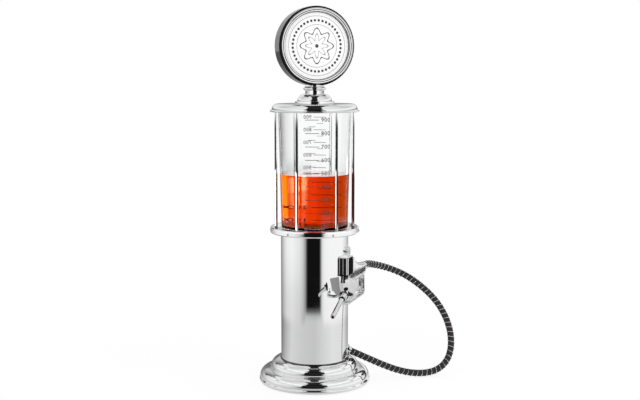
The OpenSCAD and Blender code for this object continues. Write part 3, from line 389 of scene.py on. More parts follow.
def black_enamel():
    # Black of the tower's panels and ribs, also used for painted shade and painted dark reflection on the sign, the
    # head's nose and under the tower
    return marked("black_enamel", (0.008, 0.008, 0.009), (0.014, 0.014, 0.015), 0.14, 0.26, 150.0, 0.0, 0.05,
                  Specular_IOR_Level=0.0)


def steel():
    return marked("bright_steel", (0.72, 0.72, 0.73), (0.6, 0.6, 0.62), 0.16, 0.3, 200.0, 1.0)


def wire_steel():
    return marked("wire_steel", (0.86, 0.86, 0.87), (0.76, 0.76, 0.77), 0.1, 0.2, 400.0, 1.0)


def brass():
    return marked("turned_brass", (0.8, 0.6, 0.28), (0.66, 0.47, 0.2), 0.2, 0.34, 150.0, 1.0)


def rubber():
    tint = tuple(colours().rubber)
    return marked("black_rubber", tint, tuple(v * 1.9 for v in tint), 0.34, 0.52, 240.0, 0.0, 0.25,
                  Specular_IOR_Level=0.3)


def silicone():
    return marked("pale_silicone", (0.78, 0.77, 0.74), (0.68, 0.67, 0.63), 0.35, 0.5, 160.0, 0.0, 0.1)


def hollow_dark():
    # Black for the inside of the spout and its bell: painted shade in the bore
    return marked("painted_shade_bore", (0.012, 0.012, 0.012), (0.02, 0.02, 0.02), 0.6, 0.8, 200.0)


def white_plastic():
    return marked("white_plastic", (0.8, 0.8, 0.8), (0.76, 0.76, 0.755), 0.25, 0.4, 180.0, 0.0, 0.08)


def scale_ink():
    tint = tuple(colours().ink)
    return marked("scale_ink", tint, tuple(v * 1.8 for v in tint), 0.45, 0.6, 300.0)


def far_ink():
    return marked("far_scale_ink", (0.3, 0.29, 0.28), (0.36, 0.35, 0.34), 0.45, 0.6, 300.0)


def soak_up(made, colour, density):
    """Gives a clear body a volume that takes up light along its path."""
    tree = made.node_tree
    (soak,) = add_nodes(tree, "VolumeAbsorption")
    preset(soak, Color=(*colour, 1), Density=density)
    join(tree, (soak, 0, tree.nodes["Material Output"], "Volume"))
    return made


def clear_tank():
    """Clear moulded acrylic: full transmission, with a faint haze on the roughness."""
    made = marked("clear_acrylic", (1, 1, 1), (0.985, 0.99, 0.99), 0.0, 0.02, 30.0,
                  Transmission_Weight=1.0, IOR=1.38)
    return soak_up(made, (0.1, 0.12, 0.12), 2.0)


def amber(name, **surface):
    """Amber drink: a clear surface over a volume that soaks up blue and green."""
    made = marked(name, (1, 1, 1), (0.99, 0.99, 0.985), 0.0, 0.01, 20.0,
                  Transmission_Weight=1.0, IOR=1.36, **surface)
    return soak_up(made, tuple(colours().liquor), colours().liquor_depth)


def liquor():
    return amber("amber_liquor")


def liquor_top():
    """The drink's open surface, which mirrors the room more where it is seen flat."""
    return amber("amber_surface", Coat_Weight=1.0, Coat_IOR=2.4, Coat_Roughness=0.0)


# The sign's middle and its own axes: across, up, and out of its face

SIGN_TURN = math.radians(38.0)
SIGN_MID = (0.0, 0.0, 448.8)
SIGN_X = (math.cos(SIGN_TURN), math.sin(SIGN_TURN), 0.0)
SIGN_Y = (0.0, 0.0, 1.0)
SIGN_Z = (math.sin(SIGN_TURN), -math.cos(SIGN_TURN), 0.0)
SIGN_GREY = (0.3, 0.3, 0.31)


def sign_print():
    """White glossy face with a generic print: in the sign's own plane, rings where the radius is near a set
    value, a ring of dots by angle, and a rosette line where r = middle + swing * cos(8 a)."""
    if "sign_print" in bpy.data.materials:
        return bpy.data.materials["sign_print"]
    white, ink = tuple(colours().sign_white), tuple(colours().ink)
    made = marked("sign_print", white, tuple(v * 0.97 for v in white), 0.12, 0.2, 60.0, Coat_Weight=0.3)
    tree = made.node_tree
    shader, marks = tree.nodes["Principled BSDF"], tree.nodes["Group"]

    def sum_up(operation, a, b=None, c=None):
        (step,) = add_nodes(tree, "Math")
        step.operation = operation
        for i, value in enumerate((a, b, c)):
            if isinstance(value, (int, float)):
                step.inputs[i].default_value = value
            elif value is not None:
                tree.links.new(value, step.inputs[i])
        return step.outputs[0]

    def length(a, b):
        return sum_up("SQRT", sum_up("ADD", sum_up("MULTIPLY", a, a), sum_up("MULTIPLY", b, b)))

    place, flat, parts = add_nodes(tree, "TexCoord", "Mapping", "SeparateXYZ")
    flat.vector_type = "TEXTURE"
    preset(flat, Location=[v * MM for v in SIGN_MID], Rotation=(math.pi / 2, 0, SIGN_TURN), Scale=(MM, MM, MM))
    join(tree, (place, "Object", flat, "Vector"), (flat, 0, parts, 0))
    x, y = parts.outputs[0], parts.outputs[1]
    r, a = length(x, y), sum_up("ARCTAN2", y, x)

    def ring(radius, half):
        return sum_up("COMPARE", r, radius, half)

    def spots(radius, count, size):
        step = 2 * math.pi / count
        swing = sum_up("MULTIPLY", sum_up("SUBTRACT", sum_up("PINGPONG", a, step / 2), step / 4), radius)
        return sum_up("LESS_THAN", length(swing, sum_up("SUBTRACT", r, radius)), size)

    def scallop(middle, swing, lobes, half):
        edge = sum_up("MULTIPLY_ADD", sum_up("COSINE", sum_up("MULTIPLY", a, float(lobes))), swing, middle)
        return sum_up("COMPARE", r, edge, half)

    dark = sum_up("MAXIMUM", ring(43.9, 0.55), sum_up("MAXIMUM", scallop(19.5, 3.4, 8, 0.8), spots(33.0, 20, 1.7)))
    dark = sum_up("MAXIMUM", dark, sum_up("LESS_THAN", r, 2.4))
    grey = sum_up("MAXIMUM", ring(38.6, 0.35), scallop(11.5, 4.0, 8, 0.9))
    grey = sum_up("MAXIMUM", grey, ring(27.5, 0.35))
    first, second = add_nodes(tree, "Mix", "Mix")
    for mix, mask, tint in ((first, grey, SIGN_GREY), (second, dark, ink)):
        mix.data_type = "RGBA"
        mix.inputs[MIX_B].default_value = (*tint, 1)
        tree.links.new(mask, mix.inputs["Factor"])
    join(tree, (marks, "Colour", first, MIX_A), (first, MIX_OUT, second, MIX_A),
         (second, MIX_OUT, shader, "Base Color"))
    return made


# The hose's route, as the part's source lays it, from the gun to the outlet in the column

COLUMN_RADIUS, OUTLET_HEIGHT, OUTLET_PROUD = 45.0, 42.0, 4.2
OUTLET_DIP, OUTLET_TURN = math.radians(24), math.radians(20)
OUTLET_WAY = np.array([math.cos(OUTLET_DIP) * math.cos(OUTLET_TURN), math.cos(OUTLET_DIP) * math.sin(OUTLET_TURN),
                       -math.sin(OUTLET_DIP)])
HOSE_END = np.array([COLUMN_RADIUS * math.cos(OUTLET_TURN), COLUMN_RADIUS * math.sin(OUTLET_TURN),
                     OUTLET_HEIGHT]) + OUTLET_PROUD * OUTLET_WAY
HOSE_POINTS = np.array(
    [(57, 29, 154), (57, 38, 154), (57, 47, 154), (57, 56, 154), (61, 76, 150), (74, 97, 143), (97, 107, 133),
     (121, 110, 117), (144, 109, 97), (161, 103, 72), (169, 94, 47), (168, 85, 25), (158, 75, 10), (139, 64, 4),
     (115, 51, 7), (92, 39, 16)] + [tuple(HOSE_END + OUTLET_WAY * 9 * k) for k in (2, 1, 0, -1)], float)

# Rest direction for the hose's section, radii of hose, winding and wire, and the points along and round them
HOSE_REST = np.array([-0.77, 0.50, -0.41])
HOSE_RADIUS, WIRE_REACH, WIRE_RADIUS = 4.35, 4.75, 0.42
HOSE_STATIONS, HOSE_SIDES, TURN_STATIONS = 150, 28, 20


def hose_route(stations):
    """Uniform cubic B-spline over the route's points, turned round so that it runs from the column to the gun:
    stations spread evenly by arc length, at each the side (way x a rest direction) and up (side x way), and
    the whole length."""
    spans = len(HOSE_POINTS) - 3
    t = np.linspace(0, spans, spans * 60 + 1)
    i = np.minimum(t.astype(int), spans - 1)
    u = (t - i)[:, None]
    p = [HOSE_POINTS[i + k] for k in range(4)]
    line = ((1 - u) ** 3 * p[0] + (3 * u ** 3 - 6 * u ** 2 + 4) * p[1]
            + (-3 * u ** 3 + 3 * u ** 2 + 3 * u + 1) * p[2] + u ** 3 * p[3]) / 6
    line = line[::-1]
    far = np.concatenate([[0], np.cumsum(np.linalg.norm(np.diff(line, axis=0), axis=1))])
    at = np.linspace(0, far[-1], stations)
    spot = np.stack([np.interp(at, far, line[:, k]) for k in range(3)], axis=1)
    way = heading(spot)
    side = unit(np.cross(way, HOSE_REST))
    return spot, side, np.cross(side, way), far[-1]


class DISPENSER_OT_hose(bpy.types.Operator):
    """Black hose from the column to the gun, and the bright wire wound round it"""
    bl_idname = "dispenser.hose"
    bl_label = "Hose and wire"

    def execute(self, context):
        spot, side, up, length = hose_route(HOSE_STATIONS)
        hose = put("hose_tube", None, [], [carried(spot, side, up, circle(HOSE_RADIUS, HOSE_SIDES))],
                   [rubber()])
        turns = sizes().wire_turns
        line, beside, above, _ = hose_route(turns * TURN_STATIONS + 1)
        a = np.linspace(0, 2 * np.pi * turns, len(line))[:, None]
        out = np.cos(a) * beside + np.sin(a) * above
        wire = put("hose_wire_coil", None, [], [wound(line, out, WIRE_REACH, WIRE_RADIUS)], [wire_steel()])
        for piece, node in ((hose, "hose"), (wire, "hose_wire")):
            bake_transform(piece)
            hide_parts(node)
        return {"FINISHED"}


# The stand and what it carries, each outline as (distance from the axis, height)

class DISPENSER_OT_base(bpy.types.Operator):
    """Stepped chrome base, the trim ring on it, and the plate and pad under it"""
    bl_idname = "dispenser.base"
    bl_label = "Base"

    def execute(self, context):
        outer = chain(bow((72.9, 2.5), 1.7, -90, 0, 8), bow((72.9, 4.7), 1.7, 0, 62, 6), (72.9, 7.0),
                      bow((62.8, 8.0), (11.0, 10.9), 2, 90, 18), (60.9, 18.9), bow((59.7, 19.8), 1.0, -50, 85, 8),
                      bow((47.3, 20.6), (11.7, 12.0), 0, 90, 18), (45.1, 32.6))
        inner = chain((45.1, 28.5), bow((47.5, 20.0), 8.5, 90, 0, 8), (56, 15), bow((62.5, 7.5), 7.5, 90, 0, 8),
                      (70, 0.8))
        put("base_shell", "stand", ["base"], [turned(chain(outer, inner), SIDES_LARGE)], [chrome()])
        ring = soften(oblong(45.05, 46.4, 32.5, 33.4), [0.05, 0.2, 0.5, 0.05], 6)
        # The trim ring takes the darkened chrome: a painted shadow line at the column's foot
        put("foot_trim", "stand", ["foot_ring"], [turned(ring, SIDES_MIDDLE)], [dark_chrome()])
        pad = soften(oblong(0.02, 69, 0, 2), [0.005, 0.6, 0.3, 0.005], 4)
        put("foot_rubber", "stand", ["foot_pad"], [turned(pad, 128)], [rubber()])
        dress(["base_plate"], steel())
        return {"FINISHED"}


class DISPENSER_OT_column(bpy.types.Operator):
    """Polished column tube with the hose's outlet and the bracket that carries the gun"""
    bl_idname = "dispenser.column"
    bl_label = "Column"

    def execute(self, context):
        tube = soften([(45, 30), (45, 202), (43.5, 202), (43.5, 30)], 0.3, 3)
        put("column_tube", "stand", ["column"], [turned(tube, SIDES_LARGE)], [chrome()])
        dress(["gun_bracket", "outlet_fitting"], chrome())
        dress(["bracket_screws", "outlet_nut", "tie_rods", "tie_nuts"], steel())
        dress(["drain_tube"], silicone())
        return {"FINISHED"}


class DISPENSER_OT_collar(bpy.types.Operator):
    """Dish-like collar on the column with its small screws and the seat inside it"""
    bl_idname = "dispenser.collar"
    bl_label = "Collar"

    def execute(self, context):
        dish = chain((43.6, 202), (46, 202), (56.6, 203), bow((57.0, 205.0), 2.0, -85, 0, 8), (59, 209.6),
                     bow((57.8, 210), 1.2, 0, 180, 10), (56.6, 204.1), (43.6, 204.1))
        put("collar_dish", "stand", ["collar"], [turned(dish, SIDES_LARGE)], [chrome()])
        dress(["tank_seat"], chrome())
        dress(["collar_screws", "drain_nut"], steel())
        return {"FINISHED"}


# Number of rods, angle of the first in degrees, and radius of their circle
ROD_COUNT, ROD_FIRST, ROD_CIRCLE = 6, 22.5, 51.3


class DISPENSER_OT_cage(bpy.types.Operator):
    """Six thin rods round the tank, the ring that ties their tops, and its screws"""
    bl_idname = "dispenser.cage"
    bl_label = "Cage"

    def execute(self, context):
        outline = chain((0, 204), bow((1.6, 204.4), 0.4, -90, 0, 4), bow((1.6, 364.1), 0.4, 0, 90, 4), (0, 364.5))
        rod = turned(outline, 32, closed=False)
        turn = np.radians(ROD_FIRST + 360 / ROD_COUNT * np.arange(ROD_COUNT))
        rods = [set_at(rod, (ROD_CIRCLE * c, ROD_CIRCLE * s, 0), X, Y, Z) for c, s in zip(np.cos(turn), np.sin(turn))]
        put("cage_rod_set", "stand", ["cage_rods"], rods, [chrome()])
        band = soften(oblong(48.9, 53.9, 364.5, 367.5), 0.8, 5)
        put("cage_band", "stand", ["cage_ring"], [turned(band, SIDES_MIDDLE)], [chrome()])
        dress(["rod_screws"], steel())
        return {"FINISHED"}


# Outer radius and height of the tank's foot and rim, the drink's floor, and how far it stays inside the tank
TANK_FOOT, TANK_RIM = (44.2, 209.2), (48.4, 369.0)
LIQUOR_FLOOR, LIQUOR_INSET = 213.0, 2.6


def tank_radius(z):
    """Outer radius of the tapered tank, straight from its foot to its rim."""
    (low_r, low_z), (high_r, high_z) = TANK_FOOT, TANK_RIM
    return low_r + (high_r - low_r) * (np.asarray(z, float) - low_z) / (high_z - low_z)


class DISPENSER_OT_tank(bpy.types.Operator):
    """Clear tapered tank, its fittings, the amber drink in it and a dark sheet under the drink that is painted shade
    """
    bl_idname = "dispenser.tank"
    bl_label = "Tank and liquor"

    def execute(self, context):
        wall = soften([(6.2, 209.2), TANK_FOOT, TANK_RIM, (45.4, 369), (41.3, 213.2), (6.2, 213.2)],
                      [0.4, 2.0, 1.0, 1.0, 2.0, 0.4], 8)
        put("tank_wall", "stand", ["tank"], [turned(wall, SIDES_LARGE)], [clear_tank()])
        level, floor = sizes().liquor_level / MM, LIQUOR_FLOOR
        top = float(tank_radius(level)) - LIQUOR_INSET
        drink = chain((0, floor), (40.0, floor), bow((40.0, floor + 1.7), 1.7, -90, 0, 6), (top, level - 0.6),
                      (top - 0.15, level - 0.12), (top - 0.9, level), (0, level))
        points, faces = turned(drink, SIDES_LARGE, closed=False)
        # The last row of sides and the upper fan are the open surface
        rows = len(drink) - 3
        open_top = np.repeat(np.array([0] * (rows - 1) + [1, 0, 1], np.int32), SIDES_LARGE)
        fill = put("liquor_fill", "stand", [], [(points, faces, open_top)], [liquor(), liquor_top()])
        fill.visible_glossy = False
        # Darkened chrome sheet on the tank's floor under the drink: painted shade that darkens the drink's bottom
        sheet = soften(oblong(10.5, 40.4, 213.3, 213.9), 0.2, 3)
        put("tank_painted_shade_sheet", "stand", [], [turned(sheet, SIDES_SMALL)], [dark_chrome()])
        dress(["tank_gasket"], rubber())
        dress(["drain_union"], steel())
        return {"FINISHED"}


# How far the print stands proud, the turn to the far one, the digits' size and place, and the marks' ends and height
PRINT_PROUD, FAR_TURN = 0.1, math.radians(175.0)
DIGIT_SIZE, DIGIT_PLACE = 7.2, 17.7
LONG_MARK, SHORT_MARK = (-9.0, 9.0, 0.75), (-4.9, 4.4, 0.6)


class DISPENSER_OT_scale(bpy.types.Operator):
    """Printed measure on the tank's front and back: long and short marks with the hundreds beside them"""
    bl_idname = "dispenser.scale"
    bl_label = "Measure"

    def on_tank(self, start, u, z):
        """Points u round from the angle start and z high: (R cos a, R sin a, z), where a = start + u / R."""
        radius = tank_radius(z) + PRINT_PROUD
        a = start + u / radius
        return np.stack([radius * np.cos(a), radius * np.sin(a), z], axis=-1)

    def mark(self, start, span, z):
        """Band across the scale, from the span's left to its right end, as tall as its last number."""
        left, right, tall = span
        u, v = np.meshgrid(np.linspace(left, right, 9), np.array([z - tall / 2, z + tall / 2]), indexing="ij")
        return self.on_tank(start, u, v).reshape(-1, 3), grid_faces(9, 2, wrap_columns=False)

    def digits(self, start, number, z):
        """Flat digits, made a mesh and bent round the tank."""
        text = bpy.data.curves.new("digits", "FONT")
        text.body, text.size, text.resolution_u, text.offset = str(number), DIGIT_SIZE, 3, 0.1
        text.align_x, text.align_y, text.space_character = "CENTER", "CENTER", 1.15
        holder = bpy.data.objects.new("digits", text)
        bpy.context.scene.collection.objects.link(holder)
        flat = bpy.data.meshes.new_from_object(holder.evaluated_get(bpy.context.evaluated_depsgraph_get()))
        bpy.data.objects.remove(holder)
        bpy.data.curves.remove(text)
        points = np.empty(len(flat.vertices) * 3)
        flat.vertices.foreach_get("co", points)
        points = points.reshape(-1, 3)
        faces = [list(p.vertices) for p in flat.polygons]
        bpy.data.meshes.remove(flat)
        return self.on_tank(start, points[:, 0] + DIGIT_PLACE, points[:, 1] + z), faces

    def execute(self, context):
        first, step, turn = sizes().scale_first / MM, sizes().scale_step / MM, sizes().scale_turn
        hundreds = np.arange(1, 10)
        far_hundreds = hundreds[[0, 1, 4, 5, 6, 7, 8]]
        for name, start, ink, shown in (("tank_measure", turn, scale_ink(), hundreds),
                                        ("tank_measure_far", turn + FAR_TURN, far_ink(), far_hundreds)):
            shapes = [self.mark(start, LONG_MARK, first + step * (k - 1)) for k in hundreds]
            shapes += [self.mark(start, SHORT_MARK, first + step * (k - 0.5)) for k in hundreds[:-1]]
            shapes += [self.digits(start, 100 * k, first + step * (k - 1)) for k in shown]
            put(name, "stand", [], shapes, [ink], outwards=False)
        return {"FINISHED"}


class DISPENSER_OT_lid(bpy.types.Operator):
    """Chrome cap on the cage, with its soft seal and the turned finial that carries the sign"""
    bl_idname = "dispenser.lid"
    bl_label = "Lid and finial"

    def execute(self, context):
        cap = chain((2.7, 371.8), (2.7, 373.8), bow((50.3, 366.0), (6.4, 7.8), 90, 0, 18),
                    bow((57.7, 364.4), 1.3, 100, -100, 14), (56.5, 363.1), (54.5, 363.1), (54.5, 368.8),
                    bow((51.5, 368.8), 3.0, 0, 90, 8))
        put("lid_cap", "lid", ["lid"], [turned(cap, SIDES_LARGE)], [chrome()])
        dress(["lid_seal"], rubber())
        foot = chain((2.7, 373.8), bow((25.2, 374.6), 0.8, -90, 0, 5), bow((25.2, 376.4), 0.8, 0, 90, 5),
                     bow((13.2, 377.2), 9.6, 0, 90, 16), (2.7, 386.8))
        put("finial_foot", "sign", ["finial_base"], [turned(foot, SIDES_SMALL)], [chrome()])
        neck = chain((2.7, 386.8), (12.4, 386.8), (12.4, 390.9), bow((12.4, 393.6), 2.6, -88, 88, 14),
                     (12.4, 396.4), (11.6, 400.4), (2.7, 400.4))
        put("finial_neck", "sign", ["finial_stem"], [turned(neck, SIDES_SMALL)], [chrome()])
        dress(["sign_stud", "stud_nuts"], steel())
        return {"FINISHED"}


def on_sign(outline, sides):
    """Outline (r, h) turned about the sign's axis, h out of its face."""
    return set_at(turned(outline, sides), SIGN_MID, SIGN_X, SIGN_Y, SIGN_Z)


class DISPENSER_OT_sign(bpy.types.Operator):
    """Round drum sign: flank and rounded edges darkened as painted dark reflection, ring on each face, printed front
    and plain back
    """
    bl_idname = "dispenser.sign"
    bl_label = "Sign"

    def execute(self, context):
        steps = 10
        shell = chain(bow((48.6, -9.5), 3.0, -90, 0, steps), bow((48.6, 9.5), 3.0, 0, 90, steps), (48.3, 8.85),
                      (47.6, 8.85), (47.6, -8.85), (48.3, -8.85))
        # Finishes by row: chrome on the faces, black on the rounded edges and darkened chrome on the flank, both
        # painted dark reflection
        row = np.arange(len(shell))
        painted_edge_rows = np.where(row == steps, 2, ((row > 0) & (row < 2 * steps)).astype(int))
        put("sign_shell", "sign", ["sign_drum"],
            [(*on_sign(shell, SIDES_LARGE), np.repeat(painted_edge_rows, SIDES_LARGE))],
            [chrome(), black_enamel(), dark_chrome()])
        lip = chain((44.7, 8.9), (44.7, 12.3), (44.85, 12.45), (45.9, 12.5), (46.05, 12.4), (46.1, 11.7),
                    (46.9, 11.7), (46.95, 12.4), (47.1, 12.5), (48.15, 12.5), (48.25, 12.4), (48.25, 8.9))
        # The groove between the lip's two ridges is black: painted shade
        groove_painted_shade = np.repeat(np.isin(np.arange(len(lip)), [4, 5, 6]).astype(np.int32), SIDES_MIDDLE)
        rims = [(*on_sign(lip * (1, side), SIDES_MIDDLE), groove_painted_shade) for side in (1, -1)]
        put("sign_rims", "sign", ["sign_bezels"], rims, [chrome(), black_enamel()])
        dress(["sign_face"], sign_print())
        dress(["sign_back"], white_plastic())
        return {"FINISHED"}


# The gun: x across it, y along it to the rear, z up, with its middle at GUN_X

GUN_X = 57.0


def across(outline_yz, low, high, edge):
    """Slab whose outline is drawn in y and z and whose thickness runs across the gun."""
    return set_at(plate(outline_yz, low, high, edge), (GUN_X, 0, 0), Y, Z, X)


def upright(outline_xy, low, high, edge):
    """Slab whose outline is drawn from above and whose thickness runs up."""
    return set_at(plate(outline_xy, low, high, edge), (GUN_X, 0, 0), X, Y, Z)


def bar(x0, x1, y0, y1, low, high, cut, edge, number):
    """Upright block with corners cut round, edges drawn in and the number of its finish."""
    return (*upright(soften(oblong(x0, x1, y0, y1), cut), low, high, edge), number)


class DISPENSER_OT_gun_body(bpy.types.Operator):
    """Gun body: two handle halves, cast head and the ribbed tower on it"""
    bl_idname = "dispenser.gun_body"
    bl_label = "Gun body"

    def handle_half(self, way):
        """Half of a rounded bar: at each y the section runs round x = 7 |cos t|^0.3, z = half |sin t|^0.3
        between the handle's lower and upper lines, and a flat seam closes it."""
        y = np.concatenate([np.linspace(-24, -16, 5), np.linspace(-14, 8, 12), np.linspace(10, 24, 9)])
        high = np.interp(y, [-24, -20, -12, 0, 8, 24], [176.5, 172.5, 168.0, 164.5, 163.0, 161.0])
        low = np.interp(y, [-24, 14, 24], [142.0, 146.5, 146.8])
        wide = np.interp(y, [-24, 14, 24], [7.0, 7.0, 6.9])
        t = np.linspace(-np.pi / 2, np.pi / 2, 29)
        flat, tall = np.abs(np.cos(t)) ** 0.3, np.sign(np.sin(t)) * np.abs(np.sin(t)) ** 0.3
        x = GUN_X + way * (0.06 + wide[:, None] * flat)
        z = (high + low)[:, None] / 2 + (high - low)[:, None] / 2 * tall
        return stacked(np.stack([x, np.repeat(y[:, None], len(t), axis=1), z], axis=-1))

    def head_row(self, z):
        """Section of the head at the height z: straight sides and a prow whose tip, depth and width follow z."""
        front = np.interp(z, [124.4, 136.6, 150, 157], [-48.2, -52.9, -56.0, -53.0])
        half = np.interp(z, [124.4, 140, 157], [5.2, 7.0, 7.0])
        prow = np.interp(z, [124.4, 136.6, 150, 157], [3.0, 5.0, 6.0, 2.0])
        ring = soften([(-half, -24), (-half, front + prow), (0, front), (half, front + prow), (half, -24)], 0.9, 3)
        return np.stack([GUN_X + ring[:, 0], ring[:, 1], np.full(len(ring), z)], axis=-1)

    def head(self, metal):
        """Cast head from its sections, drawn in at both ends, with the crest behind it and black nose pieces: a
        painted-shade spot for a hole and two strips of painted dark reflection.
        """
        rows = np.array([124.4, 125.0, 128, 132, 136.4, 136.8, 143, 149.6, 150.4, 154, 156.6, 157])
        body = np.stack([self.head_row(z) for z in rows])
        shrink = np.ones((len(rows), 1))
        shrink[0], shrink[-1] = 0.94, 0.97
        body[..., 0] = GUN_X + (body[..., 0] - GUN_X) * shrink
        crest = bar(-7, 7, -31.2, -24, 156, 176.4, 0.6, 0.8, 0)
        painted_hole_shade = set_at(plate(circle(2.4, 32), 49, 54.6, 0.5), (GUN_X + 3.2, 0, 139.5), X, Z, -Y)
        painted_reflection_strips = [bar(x0, x1, -56.0, -50, 147.5, 156.2, 0.5, 0.4, 1) for x0, x1 in ((-2.4, -0.2), (0.6, 2.6))]
        return put("nozzle_head_cast", "gun", ["nozzle_head"],
                   [(*stacked(body), 0), crest, (*painted_hole_shade, 1), *painted_reflection_strips], [metal, black_enamel()], sharp=22.0)

    def tower(self, metal):
        """Block on the head: bright core, post, cap and thin lines, black panels and ribs, and a black sole under it
        that is a painted shadow line.
        """
        core = bar(-7.6, 5.6, -52.3, -31, 157, 179.4, 0.7, 0.4, 0)
        panels = [bar(-7.6, 4.0, -52.6, -51.6, 157.4, 179.2, 0.3, 0.2, 1),
                  bar(5.4, 6.2, -51.0, -31.8, 157.4, 179.2, 0.3, 0.2, 1)]
        ribs = [bar(x - half, x + half, -53.0, -52.0, 158.0, 178.8, 0.45, 0.4, 1)
                for x, half in ((-6.9, 1.0), (-3.0, 1.9), (1.5, 1.6))]
        lines = [bar(x - 0.4, x + 0.4, -52.85, -52.2, 157.8, 179.0, 0.12, 0.1, 0) for x in (-5.4, -0.6)]
        post = bar(3.5, 6.3, -53.0, -50.2, 157, 179.6, 1.3, 0.3, 0)
        cap = bar(-8, 6.2, -53, -31, 179.0, 180, 1.2, 0.4, 0)
        painted_shadow_sole = bar(-8.1, 6.5, -53.3, -31, 156.0, 157.7, 1.0, 0.3, 1)
        return put("gun_tower_ribbed", "gun", ["gun_tower"],
                   [core, *panels, *ribs, *lines, post, cap, painted_shadow_sole], [metal, black_enamel()])

    def execute(self, context):
        metal = cast_chrome()
        # The hook on the left half: two cheeks and a bridge over the bracket's tongue
        hook = [set_at(plate(soften(oblong(y0, y1, low, 158), 0.6), 47.4, 52.4, 0.4), (0, 0, 0), Y, Z, X)
                for y0, y1, low in ((-8, -4.7, 146.6), (4.7, 8, 146.6), (-5.2, 5.2, 156.6))]
        left = put("handle_left_half", "gun", ["handle_left"], [self.handle_half(-1), *hook], [metal])
        right = put("handle_right_half", "gun", ["handle_right"], [self.handle_half(1)], [metal])
        hidden = [left, right, self.head(metal), self.tower(metal)]
        hidden += [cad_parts[name] for name in ("valve_block", "valve_plug", "valve_stem", "valve_seal",
                                                     "gun_screws", "trigger_pin", "wing_rivets")]
        for piece in hidden:
            piece.visible_glossy = False
        return {"FINISHED"}


# The spout's root and its own axes, the last one down along it

SPOUT_ROOT = np.array([57.0, -44.0, 133.0])
SPOUT_DROP = math.radians(21.0)
SPOUT_Z = np.array([0.0, -math.cos(SPOUT_DROP), -math.sin(SPOUT_DROP)])
SPOUT_Y = np.cross(SPOUT_Z, X)

# Half width of the head, where the wings' feet lie, and the thickness of these
HEAD_HALF, FOOT_THICK = 7.0, 1.6


def on_spout(outline, sides, bore=0):
    """Outline (r, h) turned about the spout's axis; its last rows, bore of them, take the second finish."""
    inside = np.arange(len(outline)) >= len(outline) - bore
    return (*set_at(turned(outline, sides), SPOUT_ROOT, X, SPOUT_Y, SPOUT_Z),
            np.repeat(inside.astype(np.int32), sides))


